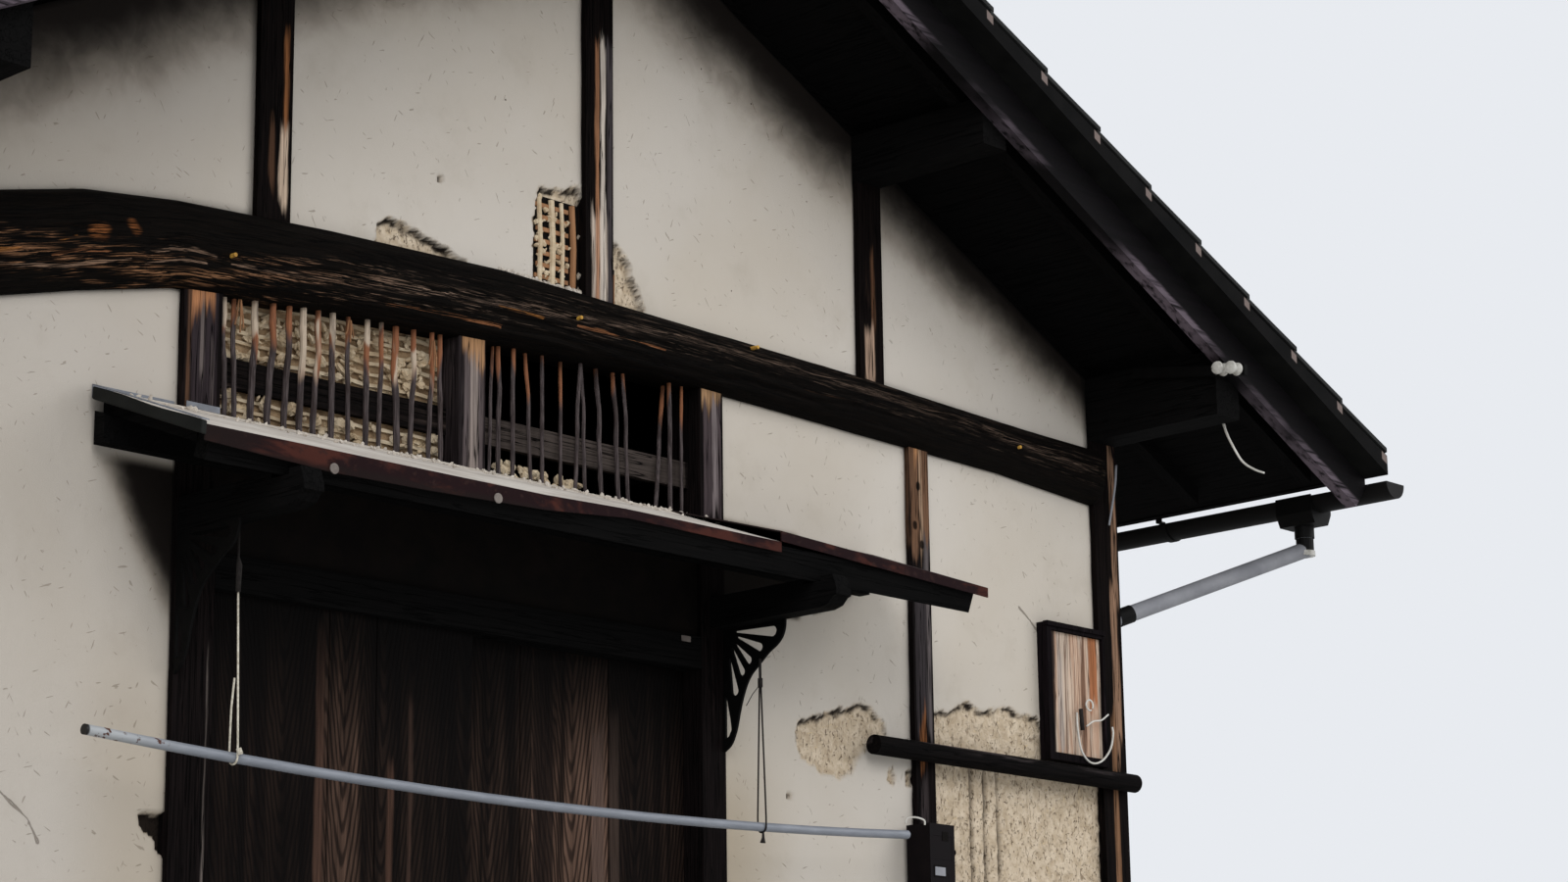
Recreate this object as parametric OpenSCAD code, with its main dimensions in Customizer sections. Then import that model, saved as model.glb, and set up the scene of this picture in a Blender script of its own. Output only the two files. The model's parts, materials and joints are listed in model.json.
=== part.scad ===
// Timber town house of two and a half bays: plastered gable front with a bent log beam,
// sliding doors under a sheet awning, a barred window above, and a tiled saddle roof.
// The origin is at ground level in the middle of the plan, with the gable front facing -Y.

/* [Plan] */
// Width of the gable between the centres of its corner posts
gable_span = 4545; // [4300:5:4900]
// Depth of the house between the centres of its corner posts
house_depth = 5454; // [5000:6:6000]
// Bays along each side wall
side_bays = 6; // [4:1:8]

/* [Timber] */
// Side of the square corner and side posts
post = 121; // [105:1:135]
// Width of the strut that stands on a beam
strut = 106; // [90:1:120]
// Width of a purlin
purlin_w = 105; // [80:1:105]
// Depth of a purlin
purlin_d = 120; // [90:1:150]
// Height of the ground sills
sill_h = 120; // [90:1:150]
// Depth of the eave plates below the rafters
plate_d = 180; // [120:1:220]

/* [Ground] */
// Height of the footing stones and of the beaten earth floor
footing_h = 150; // [100:5:200]
// Width of the footing stones
footing_w = 190; // [150:5:240]

/* [Walls] */
// Thickness of a plastered panel
panel_t = 65; // [50:1:75]
// How far a panel stands back from the faces of its posts
setback = 18; // [10:1:25]
// Thickness of the finish coat that has come away in the bare patches
coat_t = 8; // [4:1:12]

/* [Log beam] */
// Height of the underside of the log at the middle of the gable
log_seat = 2795; // [2750:5:2900]
// How far the log's belly stands proud of the posts
log_belly = 56; // [30:1:80]

/* [Door and window] */
// Width of the post at the left of the door
left_jamb = 117; // [100:1:135]
// Width of the post at the right of the door
right_jamb = 93; // [85:1:125]
// Place of the centre of the left door post
left_jamb_x = -1351; // [-1400:1:-1320]
// Place of the centre of the right door post
right_jamb_x = 440; // [400:1:460]
// Width of the post between the doorway and the corner
fourth_post = 88; // [80:1:125]
// Place of the centre of that post
fourth_x = 1344; // [1300:1:1380]
// Width of the post in the middle of the window
mullion = 93; // [80:1:110]
// Place of the centre of the window's middle post
mullion_x = -468; // [-500:1:-430]
// Height of the top of the door sill
door_floor = 190; // [180:1:215]
// Height of the underside of the door head
door_top = 1990; // [1900:5:2050]
// Height of the door head
head_h = 90; // [70:1:110]
// Thickness of a door leaf
leaf_t = 24; // [20:1:28]
// Width of a door leaf
leaf_w = 855; // [845:1:875]
// Depth of the grooves in the door sill
groove_d = 12; // [8:1:16]
// Room between a sliding leaf and what it passes
slide_room = 5; // [5:1:7]
// Height of the window sill, where the awning meets the wall
window_z = 2420; // [2400:5:2450]
// Thickness of the window sill
window_sill_h = 40; // [30:1:50]
// Height of the middle of the board across the window
rail_z = 2551; // [2530:1:2570]
// Height of the board across the window
rail_h = 76; // [60:1:90]

/* [Roof] */
// Height at which the undersides of the roof boards would meet over the middle
roof_z = 4325; // [4250:5:4400]
// Rise of the roof for each unit of run
pitch = 0.5; // [0.48:0.01:0.52]
// Reach of the roof from the middle to the tips of the eave tiles
eave_x = 2975; // [2940:5:3000]
// Reach of the barge boards beyond the faces of the gable posts
verge = 540; // [480:5:600]
// Reach of the tiles beyond the barge boards
tile_reach = 90; // [60:5:110]
// Thickness of a barge board
barge_t = 40; // [30:1:45]
// Height of a barge board measured straight down
barge_h = 130; // [110:1:160]
// Height of a rafter measured straight down
rafter_h = 56; // [45:1:65]
// Width of a rafter
rafter_w = 45; // [35:1:55]
// Thickness of the roof boards measured straight down
board_h = 20; // [15:1:25]
// Courses of tiles from eave to ridge
courses = 12; // [10:1:14]
// Height of a tile course at its upper end
tile_low = 48; // [35:1:55]
// Height of a tile course at its tip
tile_high = 64; // [58:1:95]
// Height of the stack of flat ridge tiles
ridge_stack = 130; // [80:5:180]
// Radius of the round cap tiles on the ridge
ridge_cap = 75; // [60:1:85]

/* [Awning] */
// Left end of the awning
awning_left = -1660; // [-1700:5:-1600]
// Right end of the awning
awning_right = 1127; // [1080:1:1160]
// Reach of the awning from the faces of the posts
awning_reach = 431; // [380:1:460]
// Drop of the awning from the wall to its front edge
awning_drop = 162; // [140:1:200]
// Width of the end sheet of the awning, which has sprung up at its inner end
end_sheet = 869; // [800:1:1000]
// Height by which the end sheet has sprung up at its front corner
sprung = 38; // [12:1:45]

/* [Gutters] */
// Outer radius of a gutter
gutter_r = 52; // [45:1:60]
// Drop from the edge of the roof boards to the rim of a gutter
gutter_drop = 28; // [22:1:40]
// Distance from the tips of the eave tiles to the middle of a gutter
gutter_out = 55; // [53:1:62]
// Outer radius of a downpipe
pipe_r = 27; // [22:1:33]

/* [Hidden] */
$fn = 48;

// Clearance between pieces that touch
gap = 0.3;
half_span = gable_span / 2;
half_depth = house_depth / 2;
// Inner faces and outer faces of the corner posts, across and along the house
inner_x = half_span - post / 2;
outer_x = half_span + post / 2;
inner_y = half_depth - post / 2;
outer_y = half_depth + post / 2;
bay = house_depth / side_bays;
strut_x = gable_span / 4 + 4.75;

// Heights of the roof's layers over the middle, before the fall of the pitch
rafter_z = roof_z - rafter_h;
board_z = roof_z + board_h;
function fall(x) = pitch * abs(x);

plate_z = rafter_z - fall(half_span) - plate_d;
purlin_z = rafter_z - fall(strut_x) - purlin_d;
ridge_beam_d = 150;
ridge_beam_z = rafter_z - ridge_beam_d;

// Bend of the log: place as a share of the half span, then its underside and its top
// above the seat in the middle
log_bend = [
    [-1, -260, -1], [-0.886, -203, 53], [-0.775, -138, 112], [-0.651, -76, 145],
    [-0.434, -37, 173], [-0.163, -12, 193], [0, 0, 185], [0.136, 7, 178],
    [0.479, -9, 162], [0.791, -24, 137], [1, -53, 128]];
log_stations = [for (s = log_bend) s[0] * inner_x];
function log_low(x) = log_seat + lookup(x, [for (s = log_bend) [s[0] * inner_x, s[1]]]);
function log_high(x) = log_seat + lookup(x, [for (s = log_bend) [s[0] * inner_x, s[2]]]);

// Round of the log's section: place from the post faces inwards, and share of its height
log_round = [
    [1, 0.2, 0], [0.8, 0, 0], [0, 0, 0], [0, 0.1, 0.55], [0, 0.3, 0.9], [0, 0.55, 1],
    [0, 0.8, 0.85], [0, 0.95, 0.45], [0, 1, 0], [0.8, 1, 0], [1, 0.8, 0]];
function log_ring(low, high) =
    [for (p = log_round) [p[0] * (post - 3) - p[2] * log_belly, low + p[1] * (high - low)]];

// Places of the stations that lie between two places
function between(x0, x1) =
    concat([x0], [for (s = log_stations) if (s > x0 + 1 && s < x1 - 1) s], [x1]);
function under_log(x0, x1) = [for (x = between(x0, x1)) [x, log_low(x) - gap]];
function over_log(x0, x1) = [for (x = between(x0, x1)) [x, log_high(x) + gap]];
function backwards(points) = [for (i = [len(points) - 1:-1:0]) points[i]];

left_jamb_in = left_jamb_x + left_jamb / 2;
left_jamb_out = left_jamb_x - left_jamb / 2;
right_jamb_in = right_jamb_x - right_jamb / 2;
right_jamb_out = right_jamb_x + right_jamb / 2;
fourth_in = fourth_x - fourth_post / 2;
fourth_out = fourth_x + fourth_post / 2;

ground_top = footing_h + gap;
sill_top = ground_top + sill_h;
panel_back = setback + panel_t;

// Door leaves: the outer track is the left leaf's and the inner one is the right leaf's
track_y = 30;
track_step = leaf_t + slide_room * 2 + 7;
leaf_z = door_floor - groove_d + gap;
leaf_top = door_top + groove_d;
plank_seam = 3;
left_seams = [0.44, 0.62];
right_seams = [0.28, 0.66];

rear_post_x = [-1.5, -0.5, 0.5, 1.5];
third = gable_span / 5;
side_rail_z = 1845;

// Awning section, measured from the faces of the posts
awning_slope = awning_drop / awning_reach;
function awning_z(y) = window_z + awning_slope * y;
sheet_h = 4;
sheet_lip = 28;
awning_board_h = 13;
awning_rafter_h = 34;
arm_h = 87;
arm_w = 60;
arm_z = 2110;
arm_reach = 478;
// The awning's purlin lies square to the slope, right under the boards: place of its upper
// front edge, thickness and depth
awning_purlin_y = -awning_reach + 10;
awning_purlin_w = 45;
awning_purlin_d = 65;
awning_turn = atan(awning_slope);
purlin_foot_z = awning_z(awning_purlin_y) - sheet_h - awning_board_h - 2 * gap
    - awning_purlin_d * cos(awning_turn);
purlin_back_y = awning_purlin_y + awning_purlin_w * cos(awning_turn);

tile_step = eave_x / courses;
// Top of the tiles: each course falls with the roof and rises towards its tip
function course_top(i, share) =
    board_z + gap - pitch * tile_step * (i + share)
    + tile_low + (tile_high - tile_low) * share;

tile_y = outer_y + verge + tile_reach;
barge_y = outer_y + verge;
board_y = barge_y - barge_t - gap;
board_x = eave_x - 45;
eave_board_t = 24;
gutter_x = eave_x + gutter_out;
gutter_z = board_z - fall(board_x + eave_board_t) - gutter_drop;

pole_r = 12.5;
pole_sag = 45;
pole_left = -1787;
pole_right = 1096;
pole_z = 1573;
pole_run = pole_right - pole_left;
pole_bow = (pow(pole_run / 2, 2) + pow(pole_sag, 2)) / (2 * pole_sag);
pole_y_left = -183;
pole_y_right = -135;
cord_r = 2.5;
sling_left = -1360;
// The right sling hangs beside the face of the fan bracket
sling_right = right_jamb_out + cord_r + gap;

module at_front() { translate([0, -outer_y, 0]) children(); }
module at_rear() { rotate([0, 0, 180]) translate([0, -outer_y, 0]) children(); }
module both_sides() { children(); mirror([1, 0, 0]) children(); }
module both_ends() { children(); mirror([0, 1, 0]) children(); }

module block(x, y, z) {
    translate([x[0], y[0], z[0]]) cube([x[1] - x[0], y[1] - y[0], z[1] - z[0]]);
}

// Outline in X and Z, drawn out along Y
module across(outline, y) {
    translate([0, y[1], 0]) rotate([90, 0, 0]) linear_extrude(y[1] - y[0]) polygon(outline);
}

// Outline in Y and Z, drawn out along X
module lengthwise(outline, x) {
    translate([x[0], 0, 0]) rotate([90, 0, 90]) linear_extrude(x[1] - x[0]) polygon(outline);
}

// Layer of the roof's right slope between two heights over the middle
module slope_layer(low, high, x, y) {
    across([[x[0], low - fall(x[0])], [x[1], low - fall(x[1])],
        [x[1], high - fall(x[1])], [x[0], high - fall(x[0])]], y);
}

module log_beam() {
    rings = [for (x = log_stations) [for (p = log_ring(log_low(x), log_high(x))) [x, p[0], p[1]]]];
    n = len(log_round);
    m = len(log_stations);
    points = [for (r = rings) for (p = r) p];
    sides = [for (i = [0:m - 2]) for (j = [0:n - 1]) let (k = (j + 1) % n)
        each [[i * n + j, i * n + k, i * n + n + k], [i * n + j, i * n + n + k, i * n + n + j]]];
    near = [for (j = [0:n - 1]) n - 1 - j];
    far = [for (j = [0:n - 1]) (m - 1) * n + j];
    polyhedron(points, concat(sides, [near, far]), convexity = 4);
}

// Post under the log, from the footing up, with its top cut to the log's underside
module log_post(x, w, bottom) {
    x0 = x - w / 2;
    x1 = x + w / 2;
    across(concat([[x1, bottom], [x0, bottom]], under_log(x0, x1)), [0, post]);
}

// Plaster panel under the log
module low_panel(x0, x1, bottom) {
    a = x0 + gap;
    b = x1 - gap;
    across(concat([[b, bottom], [a, bottom]], under_log(a, b)), [setback, panel_back]);
}

// Plaster panel between the log and the rafters
module gable_panel(x0, x1) {
    a = x0 + gap;
    b = x1 - gap;
    across(concat(over_log(a, b), [[b, rafter_z - fall(b) - gap], [a, rafter_z - fall(a) - gap]]),
        [setback, panel_back]);
}

// Row of three struts on a log, seated on its bent top
module strut_row() {
    for (x = [-strut_x, 0, strut_x]) {
        x0 = x - strut / 2;
        x1 = x + strut / 2;
        top = (x == 0 ? ridge_beam_z : purlin_z) - gap;
        across(concat(over_log(x0, x1), [[x1, top], [x0, top]]), [0, post]);
    }
}

module gable_panels() {
    gable_panel(-inner_x, -strut_x - strut / 2);
    gable_panel(-strut_x + strut / 2, -strut / 2);
    gable_panel(strut / 2, strut_x - strut / 2);
    gable_panel(strut_x + strut / 2, inner_x);
}

module footing_stones() {
    color("gray") {
        both_ends() block([-half_span - footing_w / 2, half_span + footing_w / 2],
            [half_depth - footing_w / 2, half_depth + footing_w / 2], [0, footing_h]);
        both_sides() block([half_span - footing_w / 2, half_span + footing_w / 2],
            [-half_depth + footing_w / 2 + gap, half_depth - footing_w / 2 - gap], [0, footing_h]);
    }
}

module earth_floor() {
    x = half_span - footing_w / 2 - gap;
    y = half_depth - footing_w / 2 - gap;
    color("tan") block([-x, x], [-y, y], [0, footing_h]);
}

module ground_sills() {
    color("#2b211c") {
        at_front() {
            for (x = [[-inner_x, left_jamb_out], [right_jamb_out, fourth_in], [fourth_out, inner_x]])
                block([x[0] + gap, x[1] - gap], [0, post], [ground_top, sill_top]);
        }
        at_rear() for (i = [-2:2])
            block([max(-inner_x, i * third - third / 2 + post / 2) + gap,
                min(inner_x, i * third + third / 2 - post / 2) - gap], [0, post],
                [ground_top, sill_top]);
        both_sides() for (i = [0:side_bays - 1]) let (y = -half_depth + i * bay)
            block([inner_x, outer_x], [y + post / 2 + gap, y + bay - post / 2 - gap],
                [ground_top, sill_top]);
    }
}

module corner_posts() {
    color("#2a1f1a") both_sides() both_ends()
        block([inner_x, outer_x], [inner_y, outer_y], [ground_top, plate_z - gap]);
}

module front_posts() {
    color("#2a1f1a") at_front() {
        log_post(left_jamb_x, left_jamb, ground_top);
        log_post(right_jamb_x, right_jamb, ground_top);
        log_post(fourth_x, fourth_post, ground_top);
    }
}

module window_mullion() {
    color("#3a2b22") at_front() log_post(mullion_x, mullion, window_z + gap);
}

module side_posts() {
    color("#2a1f1a") both_sides() for (i = [1:side_bays - 1]) let (y = -half_depth + i * bay)
        block([inner_x, outer_x], [y - post / 2, y + post / 2], [ground_top, plate_z - gap]);
}

module rear_posts() {
    color("#2a1f1a") at_rear() for (i = rear_post_x) log_post(i * third, post, ground_top);
}

module front_log_beam() { color("#1e1612") at_front() log_beam(); }
module rear_log_beam() { color("#1e1612") at_rear() log_beam(); }

module inner_log_beams() {
    color("#1e1612") for (y = [-bay, bay]) translate([0, y - post / 2, 0]) log_beam();
}

module front_struts() { color("#3a2b22") at_front() strut_row(); }
module rear_struts() { color("#3a2b22") at_rear() strut_row(); }

module inner_struts() {
    color("#3a2b22") for (y = [-bay, bay]) translate([0, y - post / 2, 0]) strut_row();
}

module eave_plates() {
    color("#2a1f1a") both_sides()
        across([[inner_x, plate_z], [outer_x, plate_z], [outer_x, rafter_z - fall(outer_x) - gap],
            [inner_x, rafter_z - fall(inner_x) - gap]], [-board_y, board_y]);
}

module purlins() {
    color("#2a1f1a") {
        both_sides() let (a = strut_x - purlin_w / 2, b = strut_x + purlin_w / 2)
            across([[a, purlin_z], [b, purlin_z], [b, rafter_z - fall(b) - gap],
                [a, rafter_z - fall(a) - gap]], [-board_y, board_y]);
        let (w = purlin_w / 2)
            across([[-w, ridge_beam_z], [w, ridge_beam_z], [w, rafter_z - fall(w) - gap],
                [0, rafter_z - gap], [-w, rafter_z - fall(w) - gap]], [-board_y, board_y]);
    }
}

module rafters() {
    color("#1e1612") both_sides() for (i = [-side_bays - 1:side_bays + 1])
        let (y = i * bay / 2)
        slope_layer(rafter_z, roof_z - gap, [gap / 2, board_x - 85],
            [y - rafter_w / 2, y + rafter_w / 2]);
}

module roof_boards() {
    color("#241a16") both_sides()
        slope_layer(roof_z, board_z, [gap / 2, board_x], [-board_y, board_y]);
}

module tile_slope() {
    bed = board_z + gap;
    outline = concat([[gap / 2, bed - fall(gap / 2)]],
        [[eave_x, bed - fall(eave_x)]],
        [for (i = [courses - 1:-1:0]) each [
            [tile_step * (i + 1), course_top(i, 1)],
            [max(gap / 2, tile_step * i), course_top(i, 0)]]]);
    across(outline, [-tile_y, tile_y]);
}

module right_roof_tiles() { color("#34383a") tile_slope(); }
module left_roof_tiles() { color("#34383a") mirror([1, 0, 0]) tile_slope(); }

module ridge_tiles() {
    w = 150;
    step = ridge_stack / 3;
    foot = course_top(0, w / tile_step) + gap;
    peak = course_top(0, 0) + gap;
    color("#2c3032") {
        across([[-w, foot], [0, peak], [w, foot], [w, foot + step + 20], [w - 18, foot + step + 20],
            [w - 18, foot + 2 * step + 20], [w - 36, foot + 2 * step + 20],
            [w - 36, foot + 3 * step + 20], [-w + 36, foot + 3 * step + 20],
            [-w + 36, foot + 2 * step + 20], [-w + 18, foot + 2 * step + 20],
            [-w + 18, foot + step + 20], [-w, foot + step + 20]], [-tile_y, tile_y]);
        translate([0, 0, foot + ridge_stack + 20 + gap]) intersection() {
            rotate([90, 0, 0]) cylinder(r = ridge_cap, h = 2 * tile_y, center = true);
            translate([0, 0, ridge_cap]) cube([4 * ridge_cap, 4 * tile_y, 2 * ridge_cap], center = true);
        }
    }
}

module barge_pair() {
    foot = board_z - barge_h;
    across([[gap / 2, foot], [eave_x - 60, foot - fall(eave_x - 60)],
        [eave_x, board_z - 30 - fall(eave_x)], [eave_x, board_z - fall(eave_x)], [gap / 2, board_z]],
        [-barge_y, -barge_y + barge_t]);
}

module front_barge_boards() { color("#33252b") both_sides() barge_pair(); }
module rear_barge_boards() { color("#33252b") mirror([0, 1, 0]) both_sides() barge_pair(); }

module eave_boards() {
    a = board_x + gap;
    b = board_x + eave_board_t;
    color("#241a16") both_sides()
        across([[a, roof_z - 4 - fall(a)], [b, roof_z - 4 - fall(a)], [b, board_z - fall(b)],
            [a, board_z - fall(a)]], [-board_y, board_y]);
}

module front_wall_left() {
    color("#b8b0a2") at_front() low_panel(-inner_x, left_jamb_out, sill_top + gap);
}

// Where the finish coat has dropped, the mud behind it stands back by the coat. The outline
// is given from the patch's lower left corner in shares of its width and height.
module bare_patch(at, size, outline) {
    across([for (p = outline) [at[0] + p[0] * size[0], at[1] + p[1] * size[1]]],
        [setback - 1, setback + coat_t]);
}
patch_edge = [[0, 0.5], [0.18, 0.75], [0.48, 0.92], [0.81, 1], [1, 0.73], [0.86, 0.46],
    [0.76, 0.24], [0.45, 0], [0.16, 0.09], [0, 0.28]];
// Ragged edge of a bare part that runs across a panel from its left to its right
ragged = [0.93, 1, 0.95, 1.02, 0.98, 0.74, 0.72];

module front_wall_middle() {
    color("#b8b0a2") at_front() difference() {
        low_panel(right_jamb_out, fourth_in, sill_top + gap);
        bare_patch([right_jamb_out + 293, side_rail_z - 110], [370, 227], patch_edge);
    }
}

module front_wall_right() {
    color("#b8b0a2") at_front() difference() {
        low_panel(fourth_out, inner_x, sill_top + gap);
        bare_patch([fourth_out - 1, side_rail_z - 1205], [inner_x - fourth_out + 2, 1380],
            concat([for (i = [0:6]) [min(1, i * 0.165 + (i > 4 ? 0.02 : 0)), 0.94 * ragged[i]]],
            [[1, 0.04], [0.75, 0], [0.5, 0.06], [0.26, 0.01], [0, 0.03]]));
    }
}

module front_wall_over_door() {
    color("#b8b0a2") at_front()
        block([left_jamb_in + gap, right_jamb_in - gap], [setback, panel_back],
            [door_top + head_h + gap, window_z - window_sill_h - gap]);
}

module front_gable_wall() {
    color("#b8b0a2") at_front() difference() {
        gable_panels();
        bare_patch([-strut / 2 - 192, log_seat + 165], [205, 302],
            [[0, 0], [0.02, 0.53], [0.1, 0.93], [0.41, 1], [0.8, 0.96], [1, 0]]);
        bare_patch([strut / 2 - 13, log_seat + 160], [150, 215],
            [[0, 0], [0, 1], [0.33, 0.72], [0.73, 0.4], [1, 0]]);
        bare_patch([-strut / 2 - 737, log_seat + 165], [290, 60],
            [[0, 0], [0.07, 1], [0.48, 0.67], [0.9, 0.5], [1, 0]]);
    }
}

module side_panels() {
    for (i = [0:side_bays - 1]) let (y = -half_depth + i * bay)
        block([outer_x - panel_back, outer_x - setback],
            [y + post / 2 + gap, y + bay - post / 2 - gap], [sill_top + gap, plate_z - gap]);
}

module right_wall() { color("#b8b0a2") side_panels(); }
module left_wall() { color("#b8b0a2") mirror([1, 0, 0]) side_panels(); }

module rear_wall() {
    color("#b8b0a2") at_rear() for (i = [-2:2])
        low_panel(max(-inner_x, i * third - third / 2 + post / 2),
            min(inner_x, i * third + third / 2 - post / 2), sill_top + gap);
}

module rear_gable_wall() { color("#b8b0a2") at_rear() gable_panels(); }

// The two tracks, each as wide as a leaf and its room
module tracks(z) {
    for (i = [0, 1]) let (y = track_y + i * track_step)
        block([left_jamb_in - 1, right_jamb_in + 1], [y - slide_room, y + leaf_t + slide_room], z);
}

module door_sill() {
    color("#3a2b22") at_front() difference() {
        block([left_jamb_in + gap, right_jamb_in - gap], [0, post], [ground_top, door_floor]);
        tracks([door_floor - groove_d, door_floor + 1]);
    }
}

module door_head() {
    color("#1e1612") at_front() difference() {
        block([left_jamb_in + gap, right_jamb_in - gap], [0, post], [door_top, door_top + head_h]);
        tracks([door_top - 1, leaf_top + slide_room]);
    }
}

// Planked leaf with the seams between its boards cut on both faces
module leaf(x, y, seams) {
    difference() {
        block([x, x + leaf_w], [y, y + leaf_t], [leaf_z, leaf_top]);
        for (s = seams) for (face = [y - 1, y + leaf_t - plank_seam])
            block([x + s * leaf_w, x + s * leaf_w + plank_seam], [face, face + plank_seam + 1],
                [leaf_z - 1, leaf_top + 1]);
    }
}

module door_left() {
    color("#3b2a20") at_front() leaf(left_jamb_in + slide_room, track_y, left_seams);
}

module door_right() {
    color("#3b2a20") at_front()
        leaf(right_jamb_in - slide_room - leaf_w, track_y + track_step, right_seams);
}

module window_sill() {
    color("#3a2b22") at_front()
        block([left_jamb_in + gap, right_jamb_in - gap], [0, post],
            [window_z - window_sill_h, window_z]);
}

module window_lath() {
    a = left_jamb_in + gap;
    b = mullion_x - mullion / 2 - gap;
    color("#a08a64") at_front()
        across(concat([[b, window_z + gap], [a, window_z + gap]], under_log(a, b)), [75, 110]);
}

module window_rail() {
    color("#2a1f1a") at_front() {
        for (x = [[left_jamb_in, mullion_x - mullion / 2], [mullion_x + mullion / 2, right_jamb_in]])
            block([x[0] + gap, x[1] - gap], [50, 70], [rail_z - rail_h / 2, rail_z + rail_h / 2]);
    }
}

// Arm that carries the awning, with a rounded nose and a notch for the purlin
module awning_arm(x) {
    difference() {
        lengthwise([[-gap, arm_z], [-arm_reach + 60, arm_z], [-arm_reach + 30, arm_z + 8],
            [-arm_reach + 12, arm_z + 26], [-arm_reach, arm_z + 30], [-arm_reach, arm_z + 48],
            [-arm_reach + 14, arm_z + arm_h], [-gap, arm_z + arm_h]], [x, x + arm_w]);
        block([x - 1, x + arm_w + 1],
            [awning_purlin_y, purlin_back_y + awning_purlin_d * sin(awning_turn) + gap],
            [purlin_foot_z - gap, arm_z + arm_h + 1]);
    }
}

module awning_arms() {
    color("#2a1f1a") at_front() {
        awning_arm(right_jamb_out - arm_w);
        awning_arm(left_jamb_out);
    }
}

awning_frame_left = awning_left + 25;
awning_frame_right = awning_right - 45;
ledger_w = 40;
ledger_z = window_z - 135;

module awning_purlin() {
    foot = [awning_purlin_y + awning_purlin_d * sin(awning_turn), purlin_foot_z];
    up = awning_purlin_d * [-sin(awning_turn), cos(awning_turn)];
    back = awning_purlin_w * [cos(awning_turn), sin(awning_turn)];
    color("#2a1f1a") at_front()
        lengthwise([foot, foot + back, foot + back + up, foot + up],
            [awning_frame_left, awning_frame_right]);
}

// Layer of the awning between two depths below its top
module awning_layer(top, bottom, y, x) {
    lengthwise([[y[0], awning_z(y[0]) - bottom], [y[1], awning_z(y[1]) - bottom],
        [y[1], awning_z(y[1]) - top], [y[0], awning_z(y[0]) - top]], x);
}

// Six rafters over the ledger that bears their upper ends
module awning_rafters() {
    top = sheet_h + awning_board_h + gap * 2;
    n = 6;
    run = awning_frame_right - awning_frame_left - 40;
    front = purlin_back_y + awning_rafter_h * cos(awning_turn) * sin(awning_turn) + 0.5;
    under = top + awning_rafter_h + gap;
    color("#2a1f1a") at_front() {
        for (i = [0:n - 1]) let (x = awning_frame_left + i * run / (n - 1))
            awning_layer(top, top + awning_rafter_h, [front, -gap], [x, x + 40]);
        lengthwise([[-ledger_w, ledger_z], [-gap, ledger_z], [-gap, awning_z(-gap) - under],
            [-ledger_w, awning_z(-ledger_w) - under]], [awning_left, awning_frame_right - 20]);
    }
}

module awning_boards() {
    top = sheet_h + gap;
    color("#241a16") at_front()
        awning_layer(top, top + awning_board_h, [-awning_reach + 8, -gap],
            [awning_left + 8, awning_right - 8]);
}

// Lip of the first sheet: share of its length, height by which its front edge is bent up, and
// depth of the lip there
sheet_line = [[0, 0, 38], [0.19, 0, 53], [0.35, 0, 49], [0.55, 0, 38], [0.7, 8, 23], [1, 7, 28]];

// The first sheet runs on a little below the end sheet
module awning_sheet() {
    run = awning_right - end_sheet + 4 - awning_left;
    color("#4a2424") at_front()
        sheet_skin([for (s = sheet_line) [awning_left + s[0] * run, s[1], 0, s[2]]], -awning_reach);
}

// End sheet, sprung up where it laps over the first one and fast at its outer end
module awning_end_sheet() {
    lap = sheet_h + 0.7;
    color("#4a2424") at_front() sheet_skin([[awning_right - end_sheet, sprung, lap, sheet_lip],
        [awning_right, 0, 0, sheet_lip]], -awning_reach - sheet_h - gap);
}

// Sheet through stations, each with its place, its rise at the front and at the wall, and the
// depth of its lip
module sheet_skin(stations, front) {
    function ring(s) = let (wall = awning_z(0) + s[2], top = awning_z(front) + s[1],
        turn = awning_z(front + sheet_h) + s[1] - sheet_h)
        [[s[0], -gap, wall], [s[0], front, top], [s[0], front, top - s[3]],
        [s[0], front + sheet_h, top - s[3]], [s[0], front + sheet_h, turn],
        [s[0], -gap, wall - sheet_h]];
    last = 6 * (len(stations) - 1);
    skin = [for (b = [0:6:last - 6]) each concat(
        [for (i = [0, 1, 2, 3, 5]) let (k = (i + 1) % 6)
            each [[b + i, b + k, b + 6 + k], [b + i, b + 6 + k, b + 6 + i]]],
        [[b + 4, b + 5, b + 10], [b + 5, b + 11, b + 10]])];
    polyhedron([for (s = stations) each ring(s)], concat(skin, [[5, 4, 1, 0], [4, 3, 2, 1],
        [last, last + 1, last + 4, last + 5], [last + 1, last + 2, last + 3, last + 4]]),
        convexity = 4);
}

// Pierced fan bracket in the corner below an arm
bracket_w = 238;
bracket_h = 344;
bracket_t = 8;
function arc(cx, cy, r, a, b, n) =
    [for (i = [0:n]) let (t = a + (b - a) * i / n) [cx + r * cos(t), cy + r * sin(t)]];
// Drop-shaped slot that widens away from the corner
function slot(turn, near, far, r0, r1) =
    let (p = concat(arc(near, 0, r0, 90, 270, 6), arc(far, 0, r1, -90, 90, 8)))
    [for (q = p) [q[0] * cos(turn) - q[1] * sin(turn), q[0] * sin(turn) + q[1] * cos(turn)]];

// Smooth line through points, with n steps between two of them
function smooth_line(p, n) = [for (i = [0:len(p) - 2]) let (a = p[max(i - 1, 0)], b = p[i],
    c = p[i + 1], d = p[min(i + 2, len(p) - 1)]) for (k = [0:n - 1]) let (t = k / n)
    (2 * b + (c - a) * t + (2 * a - 5 * b + 4 * c - d) * t * t
    + (3 * b - a - 3 * c + d) * t * t * t) / 2];
// Outer edge of the bracket, from its nose under the arm to its foot on the post, in shares
// of its width and height
fan_edge = [[1, 0], [0.99, 0.07], [0.94, 0.145], [0.85, 0.2], [0.735, 0.244], [0.65, 0.29],
    [0.54, 0.35], [0.445, 0.405], [0.365, 0.485], [0.3, 0.59], [0.25, 0.7], [0.205, 0.82],
    [0.155, 0.9], [0.1, 0.955], [0, 1]];
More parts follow.
